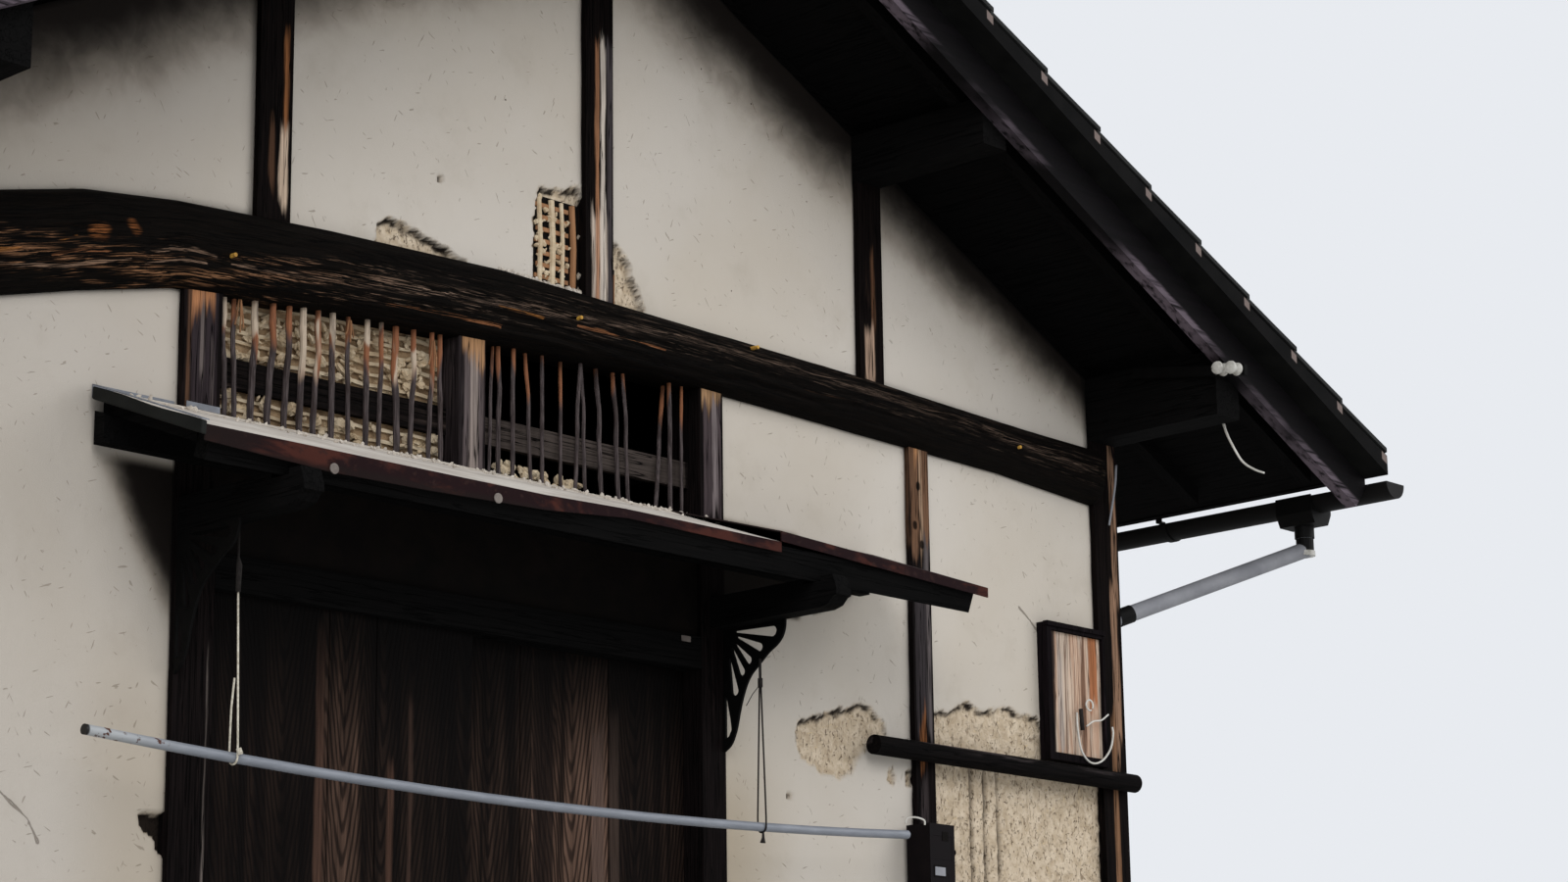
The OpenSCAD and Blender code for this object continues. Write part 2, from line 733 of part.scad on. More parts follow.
// Five drops round the corner: turn, near end, far end, radius there
fan_drops = [[187, 40, 182, 15], [205, 50, 144, 11.5], [226, 58, 128, 11],
    [243, 58, 136, 11.5], [258.5, 80, 176, 13]];

module fan_plate() {
    outline = concat([[0, 0]], smooth_line([for (p = fan_edge) [-p[0] * bracket_w, -p[1] * bracket_h]],
        3), [[0, -bracket_h]]);
    difference() {
        polygon(outline);
        translate([-10, -5]) for (d = fan_drops) polygon(slot(d[0], d[1], d[2], 2.5, d[3]));
        polygon([[-6, -186], [-6, -309], [-20, -302], [-30, -285], [-26, -254], [-12, -192]]);
    }
}

module fan_bracket() {
    translate([0, -gap, arm_z - gap]) rotate([90, 0, 90]) linear_extrude(bracket_t) fan_plate();
}

module iron_brackets() {
    color("#17161a") at_front() {
        translate([right_jamb_out - bracket_t, 0, 0]) fan_bracket();
        translate([left_jamb_out, 0, 0]) fan_bracket();
    }
}

// Pole that hangs in a shallow bow
module drying_pole() {
    turn = asin(pole_run / 2 / pole_bow);
    mid_y = (pole_y_left + pole_y_right) / 2;
    yaw = atan((pole_y_right - pole_y_left) / pole_run);
    color("#8d95a3") at_front()
        translate([(pole_left + pole_right) / 2, mid_y, pole_z - pole_sag + pole_bow])
        rotate([0, 0, yaw]) rotate([90, 0, 0]) rotate([0, 0, -90 - turn])
        rotate_extrude(angle = 2 * turn, $fn = 720) translate([pole_bow, 0]) circle(pole_r, $fn = 24);
}

// Sling of one cord, looped under the pole
module sling(x, y, z0, z1) {
    loop = pole_r + cord_r + 2 * gap;
    translate([x, y, z0]) rotate([0, 90, 0]) rotate([0, 0, -90])
        rotate_extrude(angle = 180, $fn = 32) translate([loop, 0]) circle(cord_r, $fn = 16);
    for (s = [-1, 1]) translate([x, y + s * loop, z0]) cylinder(r = cord_r, h = z1 - z0, $fn = 16);
}

// Height of the pole, and its place out from the posts, along its run
function pole_at(x) =
    pole_z - pole_sag * (1 - pow((x - (pole_left + pole_right) / 2) / (pole_run / 2), 2));
function pole_y_at(x) = pole_y_left + (pole_y_right - pole_y_left) * (x - pole_left) / pole_run;

module pole_slings() {
    color("#c8c4ba") at_front() {
        sling(sling_left, pole_y_at(sling_left), pole_at(sling_left), arm_z - gap);
        sling(sling_right, pole_y_at(sling_right), pole_at(sling_right), arm_z - 100);
    }
}

// Rail across the two right-hand posts
module side_rail() {
    rail_r = 29;
    rail_left = fourth_in - 222;
    color("#2a1f1a") at_front() translate([rail_left, -rail_r - gap, side_rail_z])
        rotate([0, 90, 0]) cylinder(r = rail_r, h = outer_x + 2 - rail_left);
}

// Board with a raised frame for the meter that is gone
module meter_board() {
    x = [inner_x - 295, inner_x - gap];
    z = [side_rail_z + 41, side_rail_z + 475];
    frame = 24;
    color("#8a5a34") at_front() difference() {
        block(x, [-22, setback - gap], z);
        block([x[0] + frame, x[1] - frame / 2], [-23, -8], [z[0] + frame, z[1] - frame]);
    }
}

case_x = fourth_in - 51;
case_z = side_rail_z - 460;
case_w = 111;
case_h = 240;
case_t = 90;

module switch_box() {
    color("#241c1a") at_front() difference() {
        block([case_x, case_x + case_w], [-case_t - gap, -gap], [case_z, case_z + case_h]);
        block([case_x + 31, case_x + 81], [-case_t - 2, 6 - case_t], [case_z + 45, case_z + 95]);
        block([case_x + 13, case_x + 98], [-case_t - 2, 3 - case_t], [case_z + 135, case_z + 205]);
    }
}

module gutters() {
    wall = 3;
    end = outer_y + 620;
    color("#2b2a2c") both_sides() translate([gutter_x, 0, gutter_z]) difference() {
        rotate([90, 0, 0]) cylinder(r = gutter_r, h = 2 * end, center = true);
        rotate([90, 0, 0]) cylinder(r = gutter_r - wall, h = 2 * end - 2 * wall, center = true);
        translate([0, 0, gutter_r]) cube([3 * gutter_r, 3 * end, 2 * gutter_r], center = true);
        translate([0, -hopper_y, 0]) cylinder(r = 30, h = 3 * gutter_r, center = true);
    }
}

hopper_y = outer_y + 256;
hopper_w = 140;
hopper_h = 90;
outlet_h = 40;
hook_t = 4;

// Strap hook under the gutter, held by the eave board
module hook() {
    r = gutter_r + gap;
    board_face = board_x + eave_board_t + gap;
    back = gutter_x - r - hook_t;
    top = board_z - fall(board_face + hook_t) - hook_t;
    across([[board_face, top], [board_face + hook_t, top],
        [board_face + hook_t, gutter_z + 4], [gutter_x - r, gutter_z + 4], [gutter_x - r, gutter_z],
        [back, gutter_z], [board_face, gutter_z]], [-12, 12]);
    translate([gutter_x, 0, gutter_z]) difference() {
        rotate([90, 0, 0]) cylinder(r = r + hook_t, h = 24, center = true);
        rotate([90, 0, 0]) cylinder(r = r, h = 30, center = true);
        translate([0, 0, gutter_r + gap]) cube([4 * gutter_r, 60, 2 * gutter_r + 2 * gap], center = true);
    }
}

module gutter_hooks() {
    color("#2b2a2c") both_sides() for (i = [-3:3]) translate([0, i * bay + bay / 4, 0]) hook();
}

// Box round the gutter with a bevelled bottom and a short outlet
module rain_hoppers() {
    w = gutter_r + 7;
    r = gutter_r + gap;
    color("#2b2a2c") both_sides() translate([gutter_x, -hopper_y, gutter_z]) difference() {
        union() {
            across([[-w, 4], [-w, -gutter_r], [-w + 20, -hopper_h], [w - 20, -hopper_h],
                [w, -gutter_r], [w, 4]], [-hopper_w / 2, hopper_w / 2]);
            translate([0, 0, -hopper_h - outlet_h]) cylinder(r = 33, h = outlet_h + 1);
        }
        rotate([90, 0, 0]) cylinder(r = r, h = hopper_w + 2, center = true);
        block([-r, r], [-hopper_w / 2 - 1, hopper_w / 2 + 1], [0, 5]);
        translate([0, 0, -hopper_h - outlet_h - 1]) cylinder(r = pipe_r + gap, h = hopper_h);
    }
}

// Oblique pipe from the hopper to the corner post, then a pipe down the post's side
module downpipe() {
    elbow = 2;
    top = [gutter_x, -hopper_y, gutter_z - hopper_h - outlet_h - 38];
    foot = [outer_x + pipe_r + 8, -outer_y + post / 2, 2390];
    d = foot - top;
    run = norm([d[0], d[1]]);
    yaw = atan2(d[1], d[0]);
    fall_angle = atan2(run, d[2]);
    translate(top) {
        sphere(r = pipe_r + elbow);
        cylinder(r = pipe_r, h = 60);
        rotate([0, fall_angle, yaw]) cylinder(r = pipe_r, h = norm(d));
    }
    translate(foot) sphere(r = pipe_r + elbow);
    outlet = footing_h + 30;
    translate([foot[0], foot[1], outlet]) cylinder(r = pipe_r, h = foot[2] - outlet);
}

module downpipes() { color("#8d8f98") both_sides() downpipe(); }

// Iron bar along the side of the right eave plate, out below the barge board, for a cable
bar_w = 18;
bar_h = 34;
bar_x = inner_x - gap - bar_w;
bar_inner = 190;
bar_outer = verge + tile_reach - 8;
bar_rise = 70;
bar_top = rafter_z - fall(inner_x) - 22;
function bar_mid(y) = bar_top - bar_rise * (y - bar_inner) / (bar_outer - bar_inner);

module verge_bar() {
    a = bar_mid(bar_inner);
    b = bar_mid(bar_outer);
    h = bar_h / 2;
    color("#17161a") at_front() lengthwise([[-bar_inner, a - h], [-bar_inner, a + h],
        [-bar_outer, b + h], [-bar_outer, b - h]], [bar_x, bar_x + bar_w]);
}

// Porcelain knob on the side of the bar: two flanges and a neck on one axis
module knob(y) {
    translate([bar_x - gap, -y, bar_mid(y)]) rotate([0, -90, 0]) rotate_extrude()
        polygon([[0, 0], [19, 0], [21, 4], [19, 12], [13, 16], [13, 26], [19, 30], [21, 38],
            [19, 44], [8, 48], [0, 48]]);
}

module verge_knobs() { color("#dcdad2") at_front() for (d = [24, 74]) knob(bar_outer - d); }

footing_stones();
earth_floor();
ground_sills();
corner_posts();
front_posts();
window_mullion();
side_posts();
rear_posts();
front_log_beam();
rear_log_beam();
inner_log_beams();
front_struts();
rear_struts();
inner_struts();
eave_plates();
purlins();
rafters();
roof_boards();
left_roof_tiles();
right_roof_tiles();
ridge_tiles();
front_barge_boards();
rear_barge_boards();
eave_boards();
front_wall_left();
front_wall_middle();
front_wall_right();
front_wall_over_door();
front_gable_wall();
left_wall();
right_wall();
rear_wall();
rear_gable_wall();
door_sill();
door_head();
door_left();
door_right();
window_sill();
window_lath();
window_rail();
awning_arms();
awning_purlin();
awning_rafters();
awning_boards();
awning_sheet();
awning_end_sheet();
iron_brackets();
drying_pole();
pole_slings();
side_rail();
meter_board();
switch_box();
gutters();
gutter_hooks();
rain_hoppers();
downpipes();
verge_bar();
verge_knobs();
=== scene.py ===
"""Looks of a timber town house with a plastered gable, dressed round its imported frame."""

import json
import logging
import math
from dataclasses import dataclass, field
from enum import Enum
from typing import Callable, Iterable, Sequence

import bmesh
import bpy
import numpy as np
from mathutils import Matrix, Vector, noise

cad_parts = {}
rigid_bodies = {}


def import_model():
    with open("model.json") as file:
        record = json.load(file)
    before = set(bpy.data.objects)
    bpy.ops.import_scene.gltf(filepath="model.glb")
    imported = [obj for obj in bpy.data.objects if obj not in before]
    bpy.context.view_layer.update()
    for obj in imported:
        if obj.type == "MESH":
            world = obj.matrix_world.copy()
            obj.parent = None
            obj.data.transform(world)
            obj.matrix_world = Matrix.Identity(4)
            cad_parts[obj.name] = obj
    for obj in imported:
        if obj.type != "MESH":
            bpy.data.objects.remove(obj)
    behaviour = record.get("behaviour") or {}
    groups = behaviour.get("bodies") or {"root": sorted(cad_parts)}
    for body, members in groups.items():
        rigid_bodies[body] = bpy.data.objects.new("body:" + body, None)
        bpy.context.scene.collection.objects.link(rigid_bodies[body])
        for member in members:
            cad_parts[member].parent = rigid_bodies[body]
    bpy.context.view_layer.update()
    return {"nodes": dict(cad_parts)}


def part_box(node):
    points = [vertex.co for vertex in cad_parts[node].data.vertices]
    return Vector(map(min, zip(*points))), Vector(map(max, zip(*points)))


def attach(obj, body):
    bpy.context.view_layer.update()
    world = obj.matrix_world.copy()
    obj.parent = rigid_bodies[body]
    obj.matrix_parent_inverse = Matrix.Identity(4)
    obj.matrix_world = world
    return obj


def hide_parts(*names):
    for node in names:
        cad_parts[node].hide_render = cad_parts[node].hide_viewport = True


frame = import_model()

LOG = logging.getLogger("town_house")
HOUSE = "house"
Point = tuple[float, float, float]
Colour = tuple[int, int, int] | tuple[int, int, int, float]
Line = Sequence[tuple[float, float]]
Array = np.ndarray
Heights = Callable[[Array], Array]
Piece = bpy.types.Object
Material = bpy.types.Material
Value = "Sock | float"
Tone = "Sock | Colour"
ROOF_PITCH = 0.5
ROOF_TURN = 0.4636
ROOF_REACH = 2.975
COURSES = 12
TILE_BED_RIDGE = 4.3453
RAFTER_RIDGE = 4.269


class Axis(Enum):
    """Direction in which a timber's grain runs."""

    X = 0
    Y = 1
    Z = 2


def srgb(red: int, green: int, blue: int, light: float = 1.0) -> Point:
    """Turns a display colour into a linear one.

    Args:
        red: display value from 0 to 255.
        green: display value from 0 to 255.
        blue: display value from 0 to 255.
        light: share of the colour's light that is kept.

    Returns:
        The linear colour.
    """
    shares = (red / 255, green / 255, blue / 255)
    return tuple((share / 12.92 if share <= 0.04045 else ((share + 0.055) / 1.055) ** 2.4) * light
                 for share in shares)


def smooth(value: Array | float, low: float, high: float) -> Array:
    """Eases a number or an array from 0 at low to 1 at high."""
    share = np.clip((value - low) / (high - low), 0, 1)
    return share * share * (3 - 2 * share)


class Sock:
    """A node's output. Arithmetic on it adds Math nodes."""

    def __init__(self, tree: "Tree", socket: bpy.types.NodeSocket) -> None:
        """Holds one output socket of a tree."""
        self.tree = tree
        self.socket = socket

    def calc(self, operation: str, *values: Value) -> "Sock":
        """Adds a Math node with these inputs."""
        return self.tree.node("ShaderNodeMath", {"operation": operation}, dict(enumerate(values)))

    def __add__(self, other: Value) -> "Sock":
        """Adds."""
        return self.calc("ADD", self, other)

    __radd__ = __add__

    def __sub__(self, other: Value) -> "Sock":
        """Subtracts."""
        return self.calc("SUBTRACT", self, other)

    def __rsub__(self, other: Value) -> "Sock":
        """Subtracts from a number."""
        return self.calc("SUBTRACT", other, self)

    def __mul__(self, other: Value) -> "Sock":
        """Multiplies."""
        return self.calc("MULTIPLY", self, other)

    __rmul__ = __mul__

    def __truediv__(self, other: Value) -> "Sock":
        """Divides."""
        return self.calc("DIVIDE", self, other)

    def __rtruediv__(self, other: Value) -> "Sock":
        """Divides a number."""
        return self.calc("DIVIDE", other, self)

    def __pow__(self, other: Value) -> "Sock":
        """Raises to a power."""
        return self.calc("POWER", self, other)

    def size(self) -> "Sock":
        """Drops the sign."""
        return self.calc("ABSOLUTE", self)

    def wave(self) -> "Sock":
        """Takes the sine."""
        return self.calc("SINE", self)

    def part(self) -> "Sock":
        """Takes what is past the last whole number."""
        return self.calc("FRACT", self)

    def past(self, edge: Value) -> "Sock":
        """Gives 1 past an edge and 0 before it."""
        return self.calc("GREATER_THAN", self, edge)

    def least(self, other: Value) -> "Sock":
        """Takes the lower of two."""
        return self.calc("MINIMUM", self, other)

    def most(self, other: Value) -> "Sock":
        """Takes the higher of two."""
        return self.calc("MAXIMUM", self, other)

    def ease(self, low: float, high: float) -> "Sock":
        """Eases from 0 at low to 1 at high, in either order."""
        settings = {"interpolation_type": "SMOOTHSTEP"}
        turned = low > high
        ends = {1: min(low, high), 2: max(low, high), 3: float(turned), 4: float(not turned)}
        return self.tree.node("ShaderNodeMapRange", settings, {0: self, **ends})


class Tree:
    """A node tree of any kind."""

    def __init__(self, nodes: bpy.types.NodeTree) -> None:
        """Empties the tree."""
        self.nodes = nodes
        nodes.nodes.clear()

    def node(self, kind: str, settings: dict | None = None, inputs: dict | None = None,
             output: int | str = 0) -> Sock:
        """Adds a node.

        Args:
            kind: the node's type.
            settings: its properties, set before its inputs.
            inputs: values or links by the socket's name or number.
            output: the name or number of the output wanted.

        Returns:
            That output.
        """
        made = self.nodes.nodes.new(kind)
        for key, value in (settings or {}).items():
            setattr(made, key, value)
        for key, value in (inputs or {}).items():
            if isinstance(value, Sock):
                self.nodes.links.new(value.socket, made.inputs[key])
            else:
                made.inputs[key].default_value = value
        return Sock(self, made.outputs[output] if made.outputs else None)

    def axis(self, axis: Axis, source: Sock) -> Sock:
        """Gives one coordinate of a vector."""
        return self.node("ShaderNodeSeparateXYZ", {}, {0: source}, axis.value)


class Graph(Tree):
    """The node tree of one material, or of a world."""

    def __init__(self, name: str, world: bpy.types.World | None = None) -> None:
        """Starts an empty tree, in a new material of that name or in the world given."""
        self.material = world or bpy.data.materials.new(name)
        self.material.use_nodes = True
        super().__init__(self.material.node_tree)
        self.object_point = self.node("ShaderNodeTexCoord", output="Object")
        self.x, self.y, self.z = (self.axis(axis, self.object_point) for axis in Axis)

    def place(self, scale: Point = (1, 1, 1), shift: Point = (0, 0, 0), turn: Point = (0, 0, 0),
              source: Sock | None = None) -> Sock:
        """Maps the object's own coordinates, or another vector.

        Args:
            scale: stretch along each axis.
            shift: how far it is moved.
            turn: how far it is turned, in radians.
            source: the other vector.

        Returns:
            The mapped vector.
        """
        inputs = {"Vector": source or self.object_point, "Location": shift, "Rotation": turn,
                  "Scale": scale}
        return self.node("ShaderNodeMapping", {}, inputs)

    def noise(self, where: Sock | Point, scale: float, detail: float = 4, rough: float = 0.5,
              warp: float = 0) -> Sock:
        """Adds a noise texture's value.

        Args:
            where: the vector, or the stretch of the object's own coordinates.
            scale: how many waves a metre holds.
            detail: number of finer waves on top.
            rough: share of the finer waves.
            warp: how far the pattern is bent.

        Returns:
            The value, about 0.5 in the middle.
        """
        vector = where if isinstance(where, Sock) else self.place(where)
        inputs = {"Vector": vector, "Scale": scale, "Detail": detail, "Roughness": rough,
                  "Distortion": warp}
        return self.node("ShaderNodeTexNoise", {}, inputs)

    def cells(self, vector: Sock, scale: float, output: str = "Distance") -> Sock:
        """Adds a cell texture's distance or random colour."""
        return self.node("ShaderNodeTexVoronoi", {}, {"Vector": vector, "Scale": scale}, output)

    def warp(self, vector: Sock, scale: float, amount: float) -> Sock:
        """Shifts a vector by a noise."""
        colour = self.node("ShaderNodeTexNoise", {}, {"Vector": vector, "Scale": scale}, "Color")
        centred = self.node("ShaderNodeVectorMath", {"operation": "SUBTRACT"},
                            {0: colour, 1: (0.5, 0.5, 0.5)})
        inputs = {0: centred, 1: (amount, amount, amount), 2: vector}
        return self.node("ShaderNodeVectorMath", {"operation": "MULTIPLY_ADD"}, inputs)

    def mix(self, share: Value, first: Tone, second: Tone) -> Sock:
        """Mixes two colours.

        Args:
            share: share of the second colour.
            first: the first colour.
            second: the second colour.

        Returns:
            The mixed colour.
        """
        settings = {"data_type": "RGBA", "blend_type": "MIX", "clamp_factor": True}
        ends = [tone if isinstance(tone, Sock) else (*srgb(*tone), 1) for tone in (first, second)]
        return self.node("ShaderNodeMix", settings, {0: share, 6: ends[0], 7: ends[1]}, 2)

    def layers(self, colour: Tone, *coats: tuple[Value, Tone]) -> Sock:
        """Lays coats over a colour, each with its share first."""
        for share, coat in coats:
            colour = self.mix(share, colour, coat)
        return colour

    def attribute(self, name: str) -> Sock:
        """Reads an attribute of the mesh."""
        return self.node("ShaderNodeAttribute", {"attribute_name": name}, {}, "Fac")

    def near_line(self, points: Line) -> Sock:
        """Gives the distance, seen from the front, to a line.

        Args:
            points: places across and up that the line passes.

        Returns:
            The distance in metres.
        """
        nearest = None
        for (x0, z0), (x1, z1) in zip(points, points[1:]):
            run, rise = x1 - x0, z1 - z0
            far = run * run + rise * rise
            x, z = self.x - x0, self.z - z0
            share = (x * (run / far) + z * (rise / far)).most(0.0).least(1.0)
            off = ((x - share * run) ** 2 + (z - share * rise) ** 2) ** 0.5
            nearest = off if nearest is None else nearest.least(off)
        return nearest

    def close(self, colour: Sock, rough: Value, height: Sock | None = None,
              depth: float = 0.002, metal: float = 0.0, gloss: float = 0.3) -> Material:
        """Ends the tree in a surface.

        Args:
            colour: base colour.
            rough: roughness.
            height: height of the relief, as a share of its depth.
            depth: depth of the relief in metres.
            metal: share of metal.
            gloss: strength of the shine.

        Returns:
            The finished material.
        """
        inputs = {"Roughness": rough, "Metallic": metal, "Specular IOR Level": gloss,
                  "Base Color": colour}
        if height is not None:
            relief = {"Height": height, "Distance": depth}
            inputs["Normal"] = self.node("ShaderNodeBump", {}, relief)
        self.finish(self.node("ShaderNodeBsdfPrincipled", {}, inputs))
        return self.material

    def finish(self, surface: Sock, kind: str = "ShaderNodeOutputMaterial") -> None:
        """Links a surface to the tree's output."""
        self.node(kind, {}, {"Surface": surface})


def grain_scale(grain: Axis, along: float) -> Point:
    """Gives a mapping's scale that draws a pattern out along the grain."""
    scale = [1.0, 1.0, 1.0]
    scale[grain.value] = along
    return tuple(scale)


@dataclass(frozen=True)
class Stripe:
    """Streak of one colour along an upright timber, ragged at its edges and its ends."""

    place: float
    half: float
    low: float
    high: float
    colour: Colour
    strength: float = 0.9

    def lay(self, graph: Graph, colour: Sock, fibre: Sock, streak: Sock) -> Sock:
        """Lays the streak over a colour.

        Args:
            graph: the tree that is drawn in.
            colour: the colour under it.
            fibre: the fine grain, which shows in the streak.
            streak: the coarse grain, which frays its edges.

        Returns:
            The colour with the streak.
        """
        stray = graph.noise((0.2, 0.2, 0.5), 7, 3) - 0.5
        off = (graph.x - self.place + stray * 0.016).size() + (streak - 0.5) * 0.02
        high = graph.z + (streak - 0.5) * 0.35
        band = off.ease(self.half + 0.004, self.half - 0.005)
        foot = high.ease(self.low - 0.03, self.low + 0.03)
        head = high.ease(self.high + 0.03, self.high - 0.03)
        grain = graph.mix(fibre.ease(0.35, 0.62), (*self.colour, 0.6), self.colour)
        return graph.mix(band * (foot * head) * self.strength, colour, grain)


def streaks(*rows: tuple) -> tuple[Stripe, ...]:
    """Makes streaks, each from its place, half width, foot, head, colour and strength."""
    return tuple(Stripe(*row) for row in rows)


@dataclass(frozen=True)
class Finish:
    """A finish of one name, which draws itself in the tree of its material."""

    name: str

    def material(self) -> Material:
        """Builds the material."""
        return self.draw(Graph(self.name))

    def draw(self, graph: Graph) -> Material:
        """Draws the finish, each kind in its own way."""
        raise NotImplementedError


@dataclass(frozen=True)
class Timber(Finish):
    """Weathered timber: a dark coat over a grain, worn to bare wood in streaks."""

    grain: Axis
    dark: Colour = (8, 6, 6)
    mid: Colour = (17, 13, 12)
    worn: Colour = (58, 44, 36)
    wear: float = 0.22
    zone: tuple[float, float] | None = None
    rough: float = 0.82
    gloss: float = 0.03
    stripes: tuple[Stripe, ...] = ()
    knots: Line = ()

    def draw(self, graph: Graph) -> Material:
        """Draws coat, bare wood, streaks, checks and knots."""
        fine = graph.place(grain_scale(self.grain, 0.03))
        broad = graph.place(grain_scale(self.grain, 0.09), shift=(3.1, 1.7, 5.3))
        fibre = graph.noise(fine, 190, 4, 0.62, 0.4)
        streak = graph.noise(broad, 26, 5, 0.58, 0.3)
        check = (graph.noise(fine, 52, 3, 0.5) - 0.5).size().ease(0.0, 0.02)
        coat = graph.mix(fibre.ease(0.3, 0.72), self.dark, self.mid)
        level = 1 - self.wear
        bare = streak.ease(level - 0.1, level + 0.07)
        if self.zone:
            bare = bare * graph.z.ease(*self.zone)
        wood = graph.mix(fibre.ease(0.32, 0.7), (*self.worn, 0.55), self.worn)
        colour = graph.mix(bare, coat, wood)
        for stripe in self.stripes:
            colour = stripe.lay(graph, colour, fibre, streak)
        colour = graph.mix(1 - check, colour, (*self.dark, 0.35))
        for place, high in self.knots:
            off = graph.near_line([(place, high - 0.004), (place, high + 0.004)])
            colour = graph.mix(off.ease(0.013, 0.006) * 0.9, colour, (*self.dark, 0.4))
        height = fibre * 0.5 + streak * 0.3 + check * 0.5 - bare * 0.15
        return graph.close(colour, self.rough, height, 0.003, gloss=self.gloss)


BARK = (138, 112, 94)
AMBER = (156, 102, 52)
RUSSET = (148, 98, 66)
# Pale strokes of bare wood on the log: their colour, half width and line
LOG_STROKES: tuple[tuple[Colour, float, Line], ...] = (
    (BARK, 0.011, ((-1.986, 2.651), (-1.879, 2.672), (-1.782, 2.688), (-1.691, 2.722),
                   (-1.61, 2.743))),
    (AMBER, 0.008, ((-1.988, 2.685), (-1.9, 2.711), (-1.822, 2.737), (-1.763, 2.769))),
    (RUSSET, 0.009, ((-1.829, 2.704), (-1.756, 2.734), (-1.692, 2.746), (-1.647, 2.741))),
    (BARK, 0.01, ((-1.545, 2.768), (-1.488, 2.796), (-1.42, 2.807), (-1.352, 2.802))),
    (BARK, 0.007, ((-1.561, 2.742), (-1.46, 2.775), (-1.381, 2.783))),
    (BARK, 0.007, ((-1.306, 2.794), (-1.141, 2.807), (-0.933, 2.83), (-0.716, 2.842),
                   (-0.415, 2.86))),
    (RUSSET, 0.006, ((-0.825, 2.794), (-0.608, 2.811), (-0.4, 2.815))),
    (AMBER, 0.008, ((-0.422, 2.864), (-0.341, 2.868), (-0.266, 2.864))),
    (RUSSET, 0.008, ((-0.127, 2.872), (-0.016, 2.869), (0.105, 2.867), (0.205, 2.864))))
HIGHLIGHT_RIDGE = ((-1.975, 2.698), (-1.473, 2.733), (-0.894, 2.839), (-0.522, 2.873), (0.288, 2.916),
             (1.124, 2.905), (2.158, 2.838))


@dataclass(frozen=True)
class LogTimber(Finish):
    """Adzed log: dark streaks along its own length, with tan painted highlights along its ridges,
    and knots.
    """

    dark: Colour = (5, 4, 3)
    mid: Colour = (17, 12, 9)
    tan: Colour = (158, 114, 82)

    def draw(self, graph: Graph) -> Material:
        """Draws the log on its own map, whose U runs along it in metres."""
        lie = graph.node("ShaderNodeUVMap", {"uv_map": "along"})
        bent = graph.warp(lie, 2.2, 0.05)
        fine = graph.place((0.06, 1, 1), source=bent)
        broad = graph.place((0.1, 1, 1), shift=(1.3, 0.4, 0), source=bent)
        fibre = graph.noise(fine, 150, 5, 0.65, 0.6)
        streak = graph.noise(broad, 22, 5, 0.6, 0.5)
        stray = streak - 0.5
        split = (graph.noise(fine, 36, 3, 0.5, 0.3) - 0.5).size().ease(0.0, 0.025)
        coat = graph.mix(fibre.ease(0.35, 0.75), self.dark, self.mid)
        around = graph.axis(Axis.Y, lie)
        belly = around.ease(0.2, 0.27) * around.ease(0.44, 0.34)
        left = graph.axis(Axis.X, lie).ease(1.4, 0.2) * 0.1
        bare = (streak + left).ease(0.62, 0.7) * belly * fibre.ease(0.46, 0.6) * 0.3
        wood = graph.mix(fibre.ease(0.42, 0.7), (64, 40, 28), self.tan)
        # The shine lines are painted highlights along the log's upper ridges, stronger to the
        # left, tan there and pale grey further right.
        ridge = graph.near_line(HIGHLIGHT_RIDGE) + stray * 0.06
        shine = ridge.ease(0.024, 0.003) * fibre.ease(0.48, 0.6) * streak.ease(0.36, 0.5)
        second = (ridge - 0.045 + stray * 0.08).size().ease(0.012, 0.002)
        shine = shine.most(second * fibre.ease(0.52, 0.64) * streak.ease(0.42, 0.56) * 0.8)
        far = graph.x.ease(0.4, -1.3) * 0.5 + 0.4
        pale = graph.mix(graph.x.ease(-1.4, -0.6), self.tan, (150, 126, 110))
        colour = graph.layers(coat, (bare, wood), (shine * far, pale))
        for tone, half, line in LOG_STROKES:
            off = (graph.near_line(line) + stray * 0.05).size()
            stroke = (off.ease(half * 1.5, 0.0) * 0.62 + fibre - 0.5).ease(0.48, 0.66)
            colour = graph.mix(stroke * streak.ease(0.34, 0.52) * 0.85, colour, tone)
        knot = graph.near_line([(-1.713, 2.79), (-1.693, 2.794)]).ease(0.028, 0.006)
        knot = knot.most(graph.near_line([(-1.607, 2.828), (-1.601, 2.818)]).ease(0.022, 0.006))
        colour = graph.layers(colour, (knot * fibre.ease(0.42, 0.6) * 0.7, (150, 92, 52)),
                              ((1 - split) * 0.9, (5, 4, 4)))
        height = fibre * 0.45 + streak * 0.5 + split * 0.5
        return graph.close(colour, 0.8, height, 0.006, gloss=0.04)


